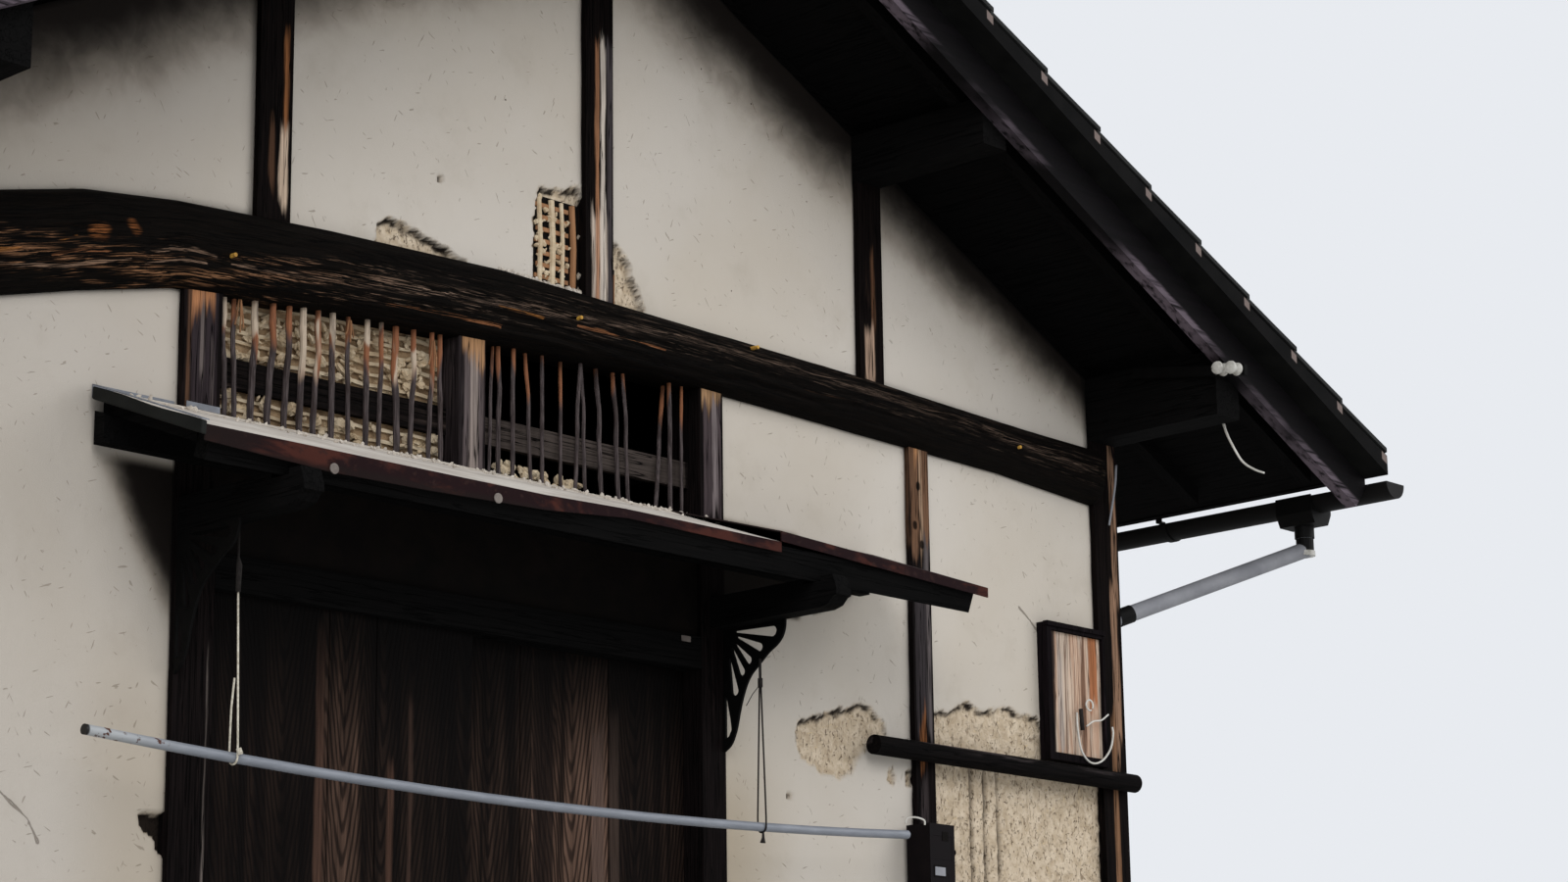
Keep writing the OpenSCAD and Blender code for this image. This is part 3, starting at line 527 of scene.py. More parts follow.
@dataclass(frozen=True)
class DoorPlank(Finish):
    """Planks with tall pointed grain, dark with age and each of its own tone, their upper part
    darkened by sooting and painted shade.
    """

    left: float
    right: float
    seams: tuple[float, ...]
    tones: tuple[float, ...]
    hearts: tuple[float, ...]
    stripes: tuple[Stripe, ...] = ()
    dark: Colour = (7, 5, 5)
    pale: Colour = (120, 94, 80)

    def draw(self, graph: Graph) -> Material:
        """Draws the planks, with a tone and a heart line for each."""
        x = graph.x
        edges = [0.0, *[(seam - self.left) / (self.right - self.left) for seam in self.seams]]
        share = (x - self.left) / (self.right - self.left)
        tone = self.steps(share, edges, self.tones)
        heart = self.steps(share, edges, [h - self.left for h in self.hearts])
        off = x - self.left - heart
        height_z = graph.z
        stray = graph.noise((6, 1, 0.7), 2.6, 3, 0.5) - 0.5
        bent = off + stray * 0.03
        rise = bent * bent / (bent.size() + 0.018) * 6.5
        phase = (height_z - rise + stray * 0.2) * 74
        rings = (phase + graph.noise((1, 1, 0.05), 60, 3) * 2.5).wave()
        fibre = graph.noise((1, 1, 0.02), 240, 4, 0.6)
        cloud = graph.noise((1, 1, 0.2), 5, 4, 0.6)
        long = graph.noise(graph.place((1, 1, 0.03), (2, 5, 1)), 34, 4, 0.6)
        line = rings.ease(-0.3, 0.9)
        level = tone * (cloud.ease(0.25, 0.7) * 0.75 + fibre.ease(0.35, 0.65) * 0.25 + 0.05)
        level = level * (long.ease(0.38, 0.62) * 0.85 + 0.15)
        base = graph.mix(level, self.dark, self.pale)
        colour = graph.mix(line * 0.85, base, graph.mix(0.85, base, self.dark))
        for stripe in self.stripes:
            colour = stripe.lay(graph, colour, fibre, cloud)
        # Sooting and painted shade under the awning darken the planks' upper part.
        colour = graph.mix(height_z.ease(1.55, 2.0) * 0.93, colour, (5, 4, 4))
        height = (1 - line) * 0.6 + fibre * 0.4
        return graph.close(colour, 0.75, height, 0.0016, gloss=0.04)

    @staticmethod
    def steps(share: Sock, edges: Sequence[float], values: Sequence[float]) -> Sock:
        """Gives one value to each plank."""
        level = values[0]
        for edge, before, value in zip(edges[1:], values, values[1:]):
            level = share.past(edge) * (value - before) + level
        return level


@dataclass(frozen=True)
class Plaster(Finish):
    """Lime and clay plaster with straw, stains, painted shade and hairline cracks, bare mud where
    marked.
    """

    coat: Colour = (192, 185, 176)
    warm: Colour = (176, 164, 146)
    mud: Colour = (206, 190, 168)
    grime_and_shade: Colour = (20, 15, 12)
    cracks_drawn: tuple[Line, ...] = (
        ((1.833, 2.357), (1.88, 2.325), (1.923, 2.293), (2.169, 2.147), (2.265, 2.047)),
        ((-2.03, 1.56), (-1.9, 1.47), (-1.79, 1.39), (-1.76, 1.34)))

    def draw(self, graph: Graph) -> Material:
        """Draws the coat. The bare attribute, where a mesh has it, shows the mud."""
        point = graph.place()
        cloud = graph.noise(point, 1.1, 5, 0.55, 0.4)
        blot = graph.noise(point, 5.5, 5, 0.6)
        trowel = graph.noise((1, 1, 0.6), 14, 4, 0.55, 0.6)
        grit = graph.noise(point, 420, 3, 0.6)
        x, z = graph.x, graph.z
        left = x.ease(-0.9, -1.6) * 0.3 + z.ease(2.85, 3.3) * 0.16
        damp = x.ease(0.85, 0.5) * x.ease(0.44, 0.48) * 0.6
        damp = (damp + x.ease(-1.75, -1.5) * x.ease(-1.3, -1.4) * 0.35) * z.ease(2.0, 1.5)
        fore = self.fore(graph)
        straws, pits = self.straws(graph), self.pits(graph)
        crack = self.cracks(graph) * fore
        soot_and_shade = self.soot_and_shade_marks(graph)
        bare = graph.attribute("bare")
        mud_colour, mud_height = self.mud_look(graph, straws)
        colour = graph.layers(
            self.coat, (cloud.ease(0.35, 0.75) * 0.4, self.warm),
            (blot.ease(0.52, 0.8) * 0.3, (162, 152, 138)),
            (left, (138, 130, 122)), (damp * fore, (150, 134, 108)),
            (straws * 0.45, (104, 92, 76)), (pits, (46, 38, 30)),
            (crack * 0.6, (88, 76, 64)),
            # Sooting with painted shade under the roof, painted shadow under the awning, and dirt
            # at the foot.
            (soot_and_shade.ease(0.0, 0.6) * 0.45, (108, 94, 76)),
            (soot_and_shade.ease(0.2, 1.0), self.grime_and_shade), (bare, mud_colour))
        plain = trowel * 0.3 + grit * 0.12 - pits * 0.5 - crack * 0.4 + straws * 0.1
        height = plain * (1 - bare) + mud_height * bare
        return graph.close(colour, 0.92, height, 0.006, gloss=0.15)

    @staticmethod
    def fore(graph: Graph) -> Sock:
        """Gives 1 on the front half of the house, from which the marks read off the front fade."""
        return graph.y.ease(0.0, -1.0)

    @staticmethod
    def straws(graph: Graph) -> Sock:
        """Marks short straws that lie in several directions."""
        marks = None
        for turn, shift in ((0.3, 1.0), (1.2, 7.0), (2.1, 13.0), (-0.5, 23.0)):
            lie = graph.place((1, 0.1, 1), (shift, 0, shift), (0, turn, 0))
            line = graph.place((0.16, 1, 1), source=lie)
            one = graph.noise(line, 150, 1, 0.4).ease(0.775, 0.8)
            marks = one if marks is None else marks.most(one)
        return marks

    @staticmethod
    def pits(graph: Graph) -> Sock:
        """Marks scattered small holes and specks."""
        point = graph.place()
        distance, chance = graph.cells(point, 9), graph.cells(point, 9, "Color")
        rare = graph.axis(Axis.X, chance).ease(0.72, 0.74)
        wide = graph.axis(Axis.Y, chance) * 0.045 + 0.015
        edge = distance + (graph.noise(point, 160, 2) - 0.5) * 0.05
        return (edge - wide).ease(0.01, 0.0) * rare

    def cracks(self, graph: Graph) -> Sock:
        """Marks the hairline cracks, which come and go."""
        jitter = (graph.noise(graph.place(), 14, 4, 0.6) - 0.5) * 0.02
        marks = None
        for line in self.cracks_drawn:
            near = (graph.near_line(line) + jitter).size().ease(0.0035, 0.0008)
            marks = near if marks is None else marks.most(near)
        return marks

    def soot_and_shade_marks(self, graph: Graph) -> Sock:
        """Marks the sooting and painted shade under the roof, the painted shadow under the awning
        beside both door posts, and the dirt at the foot.
        """
        x, z = graph.x, graph.z
        cloud = graph.noise(graph.place(), 2.6, 5, 0.62)
        smoke = graph.noise(graph.place(turn=(0, 0.4, 0)), 7, 5, 0.6, 1.2)
        reach = 0.4 + x.size().ease(1.2, 0.0) * 0.1 + x.ease(-1.2, -1.9) * 0.06
        reach = reach - x.ease(1.0, 2.2) * 0.1
        # Under the roof the darkening is sooting together with painted shade from the eaves.
        share = (z + x.size() * ROOF_PITCH - RAFTER_RIDGE) / reach + 1
        share = share + (cloud - 0.5) * 0.35 + (smoke - 0.5) * 0.2
        under_roof = share.ease(0.0, 1.0)
        foot = (z + (cloud - 0.5) * 0.5).ease(0.85, 0.25) * 0.25
        # Painted shadow of the awning's end beside the left post, and painted shade under the
        # awning right of the right post.
        wedge = (x + 1.64 + (z - 2.29) * 0.561 + (cloud - 0.5) * 0.12).ease(-0.07, 0.09)
        jamb_shadow = wedge * x.ease(-1.3, -1.4) * z.ease(2.30, 2.25) * z.ease(1.2, 1.9)
        arm_shadow = x.ease(0.84, 0.8) * x.ease(0.45, 0.48) * z.ease(2.17, 2.2) * z.ease(2.46, 2.41)
        return under_roof.most(foot).most(jamb_shadow.most(arm_shadow) * self.fore(graph)).least(0.97)

    def mud_look(self, graph: Graph, straws: Sock) -> tuple[Sock, Sock]:
        """Gives the bare mud's colour and relief."""
        point = graph.place()
        lump = graph.noise(point, 32, 6, 0.62, 0.5)
        grain = graph.noise(point, 170, 3, 0.6)
        scratch = graph.noise(graph.place((1, 1, 0.35), turn=(0, 0.25, 0)), 90, 3, 0.6, 1.0)
        pit = graph.noise(graph.place((1, 1, 0.6), turn=(0, 0.5, 0)), 120, 3, 0.6, 1.0)
        colour = graph.layers(
            (176, 158, 134), (lump.ease(0.3, 0.72), self.mud),
            (pit.ease(0.6, 0.68) * 0.75, (84, 64, 44)),
            (scratch.ease(0.6, 0.72) * 0.65, (112, 90, 66)),
            (grain.ease(0.6, 0.8) * 0.4, (212, 198, 176)),
            (straws * 0.7, (206, 182, 140)),
            # The deep attribute lays painted shade in clefts, holes and under the patches' upper
            # rims.
            (graph.attribute("deep"), (26, 19, 14)))
        dents = scratch.ease(0.6, 0.72) * 0.5
        return colour, lump + grain * 0.2 - dents - pit.ease(0.58, 0.7) * 0.6


@dataclass(frozen=True)
class Mottled(Finish):
    """Plain matter with two tones, a third in spots, and a fine relief."""

    base: Colour
    second: Colour
    spot: Colour | None = None
    scale: float = 12
    spots: float = 0.62
    rough: float = 0.8
    depth: float = 0.001
    metal: float = 0.0
    stretch: Point = (1, 1, 1)
    gloss: float = 0.25

    def draw(self, graph: Graph) -> Material:
        """Draws the tones and the spots."""
        point = graph.place(self.stretch)
        cloud = graph.noise(point, self.scale, 5, 0.6, 0.3)
        grit = graph.noise(point, self.scale * 14, 3, 0.6)
        colour = graph.layers(self.base, (cloud.ease(0.3, 0.72), self.second),
                              (grit.ease(0.5, 0.85) * 0.35, self.second))
        height = grit * 0.5 + cloud * 0.5
        rough = cloud.ease(0.2, 0.9) * 0.12 + (self.rough - 0.06)
        if self.spot:
            moved = graph.place(self.stretch, (5.1, 2.2, 8.4))
            patch = graph.noise(moved, self.scale * 0.8, 6, 0.66)
            mark = patch.ease(self.spots, self.spots + 0.07)
            colour = graph.mix(mark, colour, self.spot)
            height = height + mark * 0.4
        return graph.close(colour, rough, height, self.depth, self.metal, self.gloss)


@dataclass(frozen=True)
class RustyEnd(Finish):
    """Coated tube with rust in flakes towards its left end."""

    coat: Colour = (112, 116, 124)
    rust: Colour = (72, 38, 24)
    end: float = -1.787

    def draw(self, graph: Graph) -> Material:
        """Draws the coat, its chalky end, the rust and the dark tip."""
        flakes = graph.noise(graph.place(), 38, 5, 0.6)
        near = graph.x.ease(self.end + 0.34, self.end + 0.02)
        tip = graph.x.ease(self.end + 0.012, self.end + 0.006)
        rust = (flakes + near * 0.16).ease(0.7, 0.75) * near.ease(0.0, 0.3)
        chalk = graph.noise((0.2, 1, 1), 60, 4, 0.6)
        colour = graph.layers(
            self.coat, (chalk.ease(0.3, 0.8), (128, 132, 140)),
            (near * 0.6, (176, 178, 178)), (rust, self.rust),
            (tip, (14, 11, 10)))
        return graph.close(colour, rust * 0.4 + 0.42, flakes * 0.3 - rust * 0.5, 0.0012)


@dataclass(frozen=True)
class Bamboo(Finish):
    """Bamboo and split lath: tan or whitish at the top, dark and silvered below."""

    middle: float
    pale: float = 0.5
    tan: Colour = (128, 82, 56)
    grey: Colour = (46, 39, 39)
    cream: Colour = (176, 160, 142)

    def draw(self, graph: Graph) -> Material:
        """Draws the bars, whose upper part starts at a height that differs from bar to bar."""
        bar = graph.noise((1, 1, 0.02), 24, 1)
        high = graph.z - (bar - 0.5) * 0.4
        upper = high.ease(self.middle - 0.03, self.middle + 0.02)
        fibre = graph.noise((1, 1, 0.05), 300, 3, 0.6)
        white = graph.noise(graph.place((1, 1, 0.3), (9, 4, 2)), 16, 2)
        burnt = graph.noise(graph.place((1, 1, 0.25), (1, 7, 3)), 30, 3)
        colour = graph.layers(
            self.grey, (fibre.ease(0.4, 0.7), (92, 82, 82)), (upper, self.tan),
            (white.ease(1 - self.pale, 1.05 - self.pale) * upper, self.cream),
            (burnt.ease(0.5, 0.66) * 0.7, (44, 34, 32)),
            (fibre.ease(0.5, 0.8) * 0.6, (40, 31, 27)))
        return graph.close(colour, 0.7, fibre, 0.0012, gloss=0.15)


@dataclass(frozen=True)
class Sheet(Finish):
    """Coated steel sheet: maroon and rust on its lip; a pale top on the long sheet, and a top
    painted dark as shade on the end sheet.
    """

    lip_y: float
    pale_top: bool
    maroon: Colour = (26, 12, 14)
    rust: Colour = (62, 32, 26)

    def draw(self, graph: Graph) -> Material:
        """Draws the lip, with painted shade low down and at its left end, and the top pale, else
        painted dark as shade.
        """
        cloud = graph.noise((0.4, 1, 1), 11, 5, 0.62, 0.4)
        flake = graph.noise(graph.place(), 46, 4, 0.6)
        low = (graph.z + (cloud - 0.5) * 0.03).ease(2.232, 2.214) * 0.85
        shade = low.most(graph.x.ease(-1.42, -1.6) * 0.85)
        lip = graph.layers(self.maroon, (cloud.ease(0.5, 0.62), self.rust),
                           (flake.ease(0.56, 0.66) * 0.7, (44, 28, 26)),
                           (shade, (24, 16, 15)))
        # Without a pale top, the top is painted dark as the shade over the end sheet.
        tones = ((30, 24, 24), (52, 42, 42))
        if self.pale_top:
            tones = ((206, 200, 192), (176, 168, 160))
        top = graph.mix(cloud.ease(0.3, 0.7), *tones)
        front = graph.y.ease(self.lip_y + 0.008, self.lip_y + 0.003)
        return graph.close(graph.mix(front, top, lip), 0.75, flake, 0.0012, gloss=0.06)


@dataclass(frozen=True)
class BargeBoard(Finish):
    """Dark board up the slope of the roof, with a painted highlight along its lower edge."""

    foot: float

    def draw(self, graph: Graph) -> Material:
        """Draws the board, with its grain turned to the roof's slope."""
        turn = (0, ROOF_TURN, 0)
        streak = graph.noise(graph.place((0.04, 1, 1), turn=turn), 60, 4, 0.6)
        up = graph.z + graph.x.size() * ROOF_PITCH - self.foot
        patchy = graph.noise(graph.place((0.5, 1, 1), turn=turn), 3, 3)
        # The pale line is a painted highlight along the board's lower edge.
        line = (up + (streak - 0.5) * 0.03).ease(0.034, 0.018) * streak.ease(0.3, 0.55)
        colour = graph.layers((4, 3, 4), (streak.ease(0.35, 0.75), (9, 6, 9)),
                              (line * patchy.ease(0.34, 0.58), (92, 82, 90)))
        return graph.close(colour, 0.8, streak, 0.002, gloss=0.1)


@dataclass(frozen=True)
class TileEdge(Finish):
    """Tile bed whose ends show a pale stub at each course's tip."""

    face: float
    step: float
    foot: float

    def draw(self, graph: Graph) -> Material:
        """Draws the bed, and on its end faces the stubs."""
        across = graph.x.size()
        cloud = graph.noise(graph.place(), 9, 5, 0.6)
        share = (across / self.step).part()
        up = graph.z + across * ROOF_PITCH - self.foot
        end = graph.y.size().ease(self.face - 0.004, self.face - 0.001)
        stub = share.ease(0.87, 0.885) * share.ease(0.995, 0.985) * up.ease(0.032, 0.036)
        stub = stub * up.ease(0.063, 0.059)
        face = graph.layers((6, 6, 6), (cloud.ease(0.35, 0.7), (13, 12, 12)),
                            (stub * end, (112, 100, 96)))
        body = graph.mix(cloud.ease(0.3, 0.72), (10, 10, 10), (20, 20, 19))
        return graph.close(graph.mix(end, body, face), 0.75, cloud, 0.0015, gloss=0.04)


class Wardrobe:
    """Makes each finish once and hands it out by name."""

    def __init__(self) -> None:
        """Starts with nothing made."""
        self.made: dict[str, Material] = {}

    def get(self, finish: Finish) -> Material:
        """Returns the material of a finish, built at its first use."""
        if finish.name not in self.made:
            self.made[finish.name] = finish.material()
        return self.made[finish.name]


WARDROBE = Wardrobe()
# Timber under the roof and the awning: sooted, and painted near black for the shade that falls
# there.
SOOTED_SHADED_TIMBER = {axis: Timber(f"sooty_timber_{axis.name.lower()}", axis, (8, 8, 8), (13, 12, 12),
                      (18, 16, 15), 0.16, gloss=0.03) for axis in Axis}
DARK = {axis: Timber(f"dark_timber_{axis.name.lower()}", axis) for axis in Axis}
FRONT_POST = Timber(
    "front_post", Axis.Z, (8, 6, 6), (22, 17, 17), (46, 36, 34), 0.3,
    stripes=streaks(
        (-1.392, 0.008, 2.42, 2.8, (96, 70, 54), 0.8),
        (-1.345, 0.042, 2.42, 2.76, (50, 43, 46), 0.85),
        (-1.352, 0.006, 2.5, 2.8, (118, 108, 104), 0.6),
        (-1.318, 0.005, 2.42, 2.6, (104, 94, 92), 0.5),
        (-1.352, 0.036, 2.68, 2.95, (176, 122, 84), 0.85),
        (-1.308, 0.002, 1.0, 1.87, (130, 120, 114), 0.6),
        (0.442, 0.036, 2.42, 2.76, (78, 68, 70), 0.85),
        (0.452, 0.010, 2.42, 2.76, (124, 114, 114), 0.8),
        (0.44, 0.040, 2.76, 2.95, (172, 136, 102)),
        (1.344, 0.044, 2.5, 2.98, (118, 88, 68), 0.85),
        (1.338, 0.014, 2.72, 2.98, (186, 136, 96), 0.9),
        (1.352, 0.006, 2.46, 2.8, (168, 140, 116), 0.8),
        (1.372, 0.010, 1.9, 2.5, (112, 104, 104), 0.7),
        (1.337, 0.026, 1.9, 2.42, (62, 57, 59), 0.8),
        (1.335, 0.014, 1.78, 1.93, (140, 90, 56), 0.8),
        (1.335, 0.016, 1.0, 1.75, (60, 53, 53), 0.8)),
    knots=((1.340, 2.664), (1.322, 2.540), (1.352, 2.484)))
MULLION = Timber(
    "silvered_mullion", Axis.Z, (22, 18, 19), (48, 42, 43), (86, 76, 75), 0.4,
    stripes=streaks(
        (-0.463, 0.034, 2.38, 2.76, (98, 88, 88), 0.85),
        (-0.461, 0.016, 2.38, 2.76, (140, 128, 122)),
        (-0.463, 0.042, 2.74, 2.95, (168, 128, 92))))
STRUT = Timber(
    "worn_strut", Axis.Z, (7, 5, 5), (18, 13, 12), (48, 35, 28), 0.28,
    stripes=streaks(
        (-1.110, 0.009, 3.22, 3.49, (150, 98, 62), 0.8),
        (-1.113, 0.014, 3.0, 3.24, (206, 182, 160)),
        (-1.150, 0.008, 3.0, 3.2, (92, 66, 50), 0.6),
        (0.002, 0.032, 2.9, 3.22, (190, 174, 160), 0.9),
        (-0.008, 0.008, 2.9, 3.74, (158, 112, 82), 0.85),
        (0.014, 0.010, 2.9, 3.72, (206, 194, 182), 0.9),
        (0.040, 0.012, 2.9, 3.72, (74, 68, 70), 0.8),
        (1.150, 0.010, 3.1, 3.4, (96, 68, 50), 0.7),
        (1.130, 0.022, 2.9, 3.14, (176, 148, 128))))
CORNER = Timber(
    "corner_post", Axis.Z, (7, 5, 5), (19, 14, 13), (48, 36, 30), 0.28,
    stripes=streaks(
        (2.311, 0.016, 2.42, 3.05, (150, 118, 96), 0.85),
        (2.297, 0.018, 1.95, 2.5, (150, 118, 96), 0.85),
        (2.272, 0.014, 0.9, 2.05, (140, 104, 78), 0.8)))
LOG_WOOD = LogTimber("adzed_log")
PLASTER = Plaster("straw_plaster")
# Near-black plaster: sooted, and over the door painted dark for the shade under the awning.
SOOTED_SHADED_PLASTER = Mottled("sooted_plaster", (10, 8, 7), (18, 14, 12), depth=0.002, gloss=0.05)
STONE = Mottled("footing_granite", (120, 116, 110), (90, 88, 84), (70, 78, 58), 9, 0.6, 0.85,
                0.004)
EARTH = Mottled("beaten_earth", (150, 132, 104), (122, 104, 80), None, 6, 0.6, 0.95, 0.003)
TILE = Mottled("smoked_tile", (20, 20, 20), (36, 37, 36), (74, 76, 66), 7, 0.64, 0.65, 0.0015,
               gloss=0.08)
IRON = Mottled("black_iron", (5, 5, 5), (10, 9, 9), (22, 16, 14), 30, 0.66, 0.75, 0.001,
               gloss=0.05)
GUTTER = Mottled("dark_gutter", (10, 10, 10), (17, 16, 16), (32, 32, 31), 8, 0.68, 0.6, 0.0006,
                 stretch=(1, 0.4, 1), gloss=0.1)
HOPPER = Mottled("dark_hopper", (8, 8, 8), (14, 13, 13), (28, 27, 27), 8, 0.7, 0.6, 0.0006,
                 gloss=0.1)
GREY_PIPE = Mottled("grey_pipe", (138, 139, 144), (116, 117, 123), (74, 68, 64), 7, 0.66, 0.5,
                    0.0006)
GREY_EDGE = Mottled("grey_edge", (16, 17, 16), (27, 28, 26), (62, 60, 56), 14, 0.7, 0.7, 0.001,
                    gloss=0.1)
CLIP = Mottled("pale_clip", (118, 110, 104), (92, 84, 80), scale=30, depth=0.0004)
DEBRIS = Mottled("pale_debris", (206, 198, 188), (168, 158, 146), (112, 100, 88), 40, 0.64, 0.9,
                 0.002, gloss=0.15)
FLASHING = Mottled("grey_flashing", (122, 126, 134), (96, 98, 104), (160, 156, 146), 16, 0.62, 0.6,
                   0.0008, 0.1)
CASE = Mottled("brown_black_case", (11, 8, 9), (17, 12, 14), None, 30, 0.6, 0.6, 0.0004,
               gloss=0.05)
WHITE_CASE = Mottled("white_plastic", (206, 204, 198), (180, 176, 168), None, 20, 0.6, 0.45,
                     0.0003)
PORCELAIN = Mottled("white_porcelain", (188, 186, 180), (150, 147, 140), (70, 64, 58), 30, 0.6,
                    0.2, 0.0002)
POLE = RustyEnd("blue_grey_tube")
LEFT_BARS = Bamboo("left_window_bamboo", 2.655, 0.5)
RIGHT_BARS = Bamboo("right_window_bamboo", 2.745, 0.3)
STICKS = Mottled("tan_sticks", (150, 108, 74), (104, 72, 48), (66, 48, 36), 24, 0.6, 0.8, 0.001,
                 stretch=(1, 1, 0.1))
LATH = Mottled("split_lath", (204, 188, 162), (168, 146, 116), (104, 82, 60), 22, 0.64, 0.9, 0.002,
               stretch=(0.2, 1, 1))
CORD = Mottled("pale_cord", (208, 202, 188), (166, 158, 142), None, 120, 0.6, 0.9, 0.0006)
DARK_CORD = Mottled("dark_cord", (34, 29, 27), (20, 17, 16), None, 120, 0.6, 0.9, 0.0006)
BARE_BOARD = Timber(
    "bare_board", Axis.Z, (156, 122, 100), (196, 170, 150), (206, 186, 168), 0.5,
    stripes=streaks(
        (1.945, 0.022, 1.9, 2.3, (34, 28, 29), 0.95),
        (2.16, 0.022, 2.05, 2.34, (160, 98, 60)),
        (2.11, 0.010, 1.9, 2.3, (96, 62, 44), 0.8),
        (2.02, 0.005, 1.9, 2.3, (96, 66, 50), 0.8),
        (1.995, 0.014, 1.9, 2.3, (172, 160, 152), 0.8)))
# Its bare wood shows only along the top: wear with a painted highlight.
RAIL = Timber("worn_rail", Axis.X, (7, 6, 6), (17, 14, 14), (84, 76, 76), 0.36, (1.84, 1.87))
PURPLE_FRAME = Timber("dark_purple_frame", Axis.Z, (10, 8, 9), (22, 16, 19), (46, 36, 40), 0.26)
PEG_WOOD = Mottled("yellow_peg", (196, 152, 62), (150, 110, 50), None, 60, 0.6, 0.8, 0.001)
MUD_FILL = Mottled("window_mud", (168, 142, 110), (104, 82, 60), (206, 184, 150), 16, 0.58, 0.95,
                   0.006)
WINDOW_BOARD = Timber("window_board", Axis.X, (9, 8, 8), (26, 21, 20), (66, 56, 52),
                      0.34, stripes=streaks((-0.02, 0.4, 2.3, 2.8, (74, 66, 62), 0.8)))


def dress(node: str, finish: Finish) -> None:
    """Gives a node of the frame one finish."""
    materials = frame["nodes"][node].data.materials
    materials.clear()
    materials.append(WARDROBE.get(finish))


def settle(piece: Piece, stands_for: Iterable[str] = ()) -> Piece:
    """Rides a piece on the house and hides the nodes that it stands for.

    Args:
        piece: the piece.
        stands_for: the nodes that it replaces, if any.

    Returns:
        The piece.
    """
    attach(piece, HOUSE)
    if stands_for:
        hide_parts(*stands_for)
    return piece


class Shape:
    """Vertices and faces of one piece, gathered before its mesh is made."""

    def __init__(self, name: str) -> None:
        """Starts an empty shape."""
        self.name = name
        self.points: list[Point] = []
        self.faces: list[tuple[int, ...]] = []
        self.marks: list[int] = []
        self.values: dict[str, list[float]] = {}

    def add(self, points: Sequence[Point], faces: Sequence[Sequence[int]], mark: int = 0) -> None:
        """Adds points and the faces on them, with the number of their finish."""
        start = len(self.points)
        self.points.extend(tuple(float(c) for c in p) for p in points)
        self.faces.extend(tuple(start + i for i in f) for f in faces)
        self.marks.extend([mark] * len(faces))

    def box(self, low: Point, high: Point, mark: int = 0) -> None:
        """Adds a block, drawn out along its longest side."""
        size = [b - a for a, b in zip(low, high)]
        run = size.index(max(size))
        a, b = (i for i in range(3) if i != run)
        corners = ((low[a], low[b]), (high[a], low[b]), (high[a], high[b]), (low[a], high[b]))
        rings = []
        for end in (low[run], high[run]):
            for first, second in corners:
                point = [0.0, 0.0, 0.0]
                point[run], point[a], point[b] = end, first, second
                rings.append(tuple(point))
        self.loft(rings, len(corners), mark)

    def loft(self, points: Sequence[Point], count: int, mark: int = 0) -> None:
        """Adds a tube through rings of points, with its two ends closed.

        Args:
            points: the points of all rings.
            count: how many points a ring has.
            mark: the number of its finish.
        """
        rings = len(points) // count
        faces = [(r * count + i, r * count + (i + 1) % count, (r + 1) * count + (i + 1) % count,
                  (r + 1) * count + i) for r in range(rings - 1) for i in range(count)]
        faces.append(tuple(range(count))[::-1])
        faces.append(tuple((rings - 1) * count + i for i in range(count)))
        self.add(points, faces, mark)

    def tube(self, path: Sequence[Point], radius: float | Sequence[float], sides: int = 8,
             mark: int = 0) -> None:
        """Adds a round tube along a path.

        Args:
            path: the places that it passes.
            radius: its radius, or one for each place.
            sides: how many sides it has.
            mark: the number of its finish.
        """
        line = [Vector(p) for p in path]
        radii = [radius] * len(line) if isinstance(radius, (int, float)) else list(radius)
        points = []
        side = None
        for i, here in enumerate(line):
            way = (line[min(i + 1, len(line) - 1)] - line[max(i - 1, 0)]).normalized()
            if side is None:
                side = way.orthogonal().normalized()
            side = (side - way * side.dot(way)).normalized()
            up = way.cross(side)
            for k in range(sides):
                turn = 2 * math.pi * k / sides
                points.append(here + (side * math.cos(turn) + up * math.sin(turn)) * radii[i])
        self.loft(points, sides, mark)

    def build(self, finishes: Sequence[Finish], bevel: float = 0.0, soft: bool = False) -> Piece:
        """Makes the mesh object.

        Args:
            finishes: the finishes that the faces' marks count through.
            bevel: width of a bevel on every sharp edge, in metres.
            soft: whether the faces are shaded smooth.

        Returns:
            The object, at the origin, with its place in its mesh.
        """
        mesh = bpy.data.meshes.new(self.name)
        mesh.from_pydata(self.points, [], self.faces)
        mesh.polygons.foreach_set("material_index", self.marks)
        for finish in finishes:
            mesh.materials.append(WARDROBE.get(finish))
        for name, values in self.values.items():
            mesh.attributes.new(name, "FLOAT", "POINT").data.foreach_set("value", values)
        mesh.validate()
        fix_normals(mesh)
        if soft:
            mesh.shade_smooth()
        piece = put(self.name, mesh)
        if bevel:
            cut = piece.modifiers.new("edges", "BEVEL")
            cut.width = bevel
            cut.segments = 2
            cut.limit_method = "ANGLE"
            bake_modifiers(piece)
        return piece

    def fit(self, slot: str, *finishes: Finish, bevel: float = 0.0, soft: bool = False,
            stands_for: Iterable[str] = ()) -> Piece:
        """Builds the piece and settles it on the house."""
        return settle(self.build(finishes, bevel, soft), stands_for)


def put(name: str, data: bpy.types.ID) -> Piece:
    """Puts an object of that name and data in the scene."""
    made = bpy.data.objects.new(name, data)
    bpy.context.scene.collection.objects.link(made)
    return made


def fix_normals(mesh: bpy.types.Mesh) -> None:
    """Turns the faces of each closed shell outwards."""
    work = bmesh.new()
    work.from_mesh(mesh)
    bmesh.ops.recalc_face_normals(work, faces=work.faces)
    work.to_mesh(mesh)
    work.free()


def bake_modifiers(piece: Piece) -> None:
    """Turns an object's modifiers into plain mesh."""
    bpy.context.view_layer.update()
    shown = piece.evaluated_get(bpy.context.evaluated_depsgraph_get())
    mesh = bpy.data.meshes.new_from_object(shown)
    mesh.name = piece.name
    piece.modifiers.clear()
    piece.data = mesh


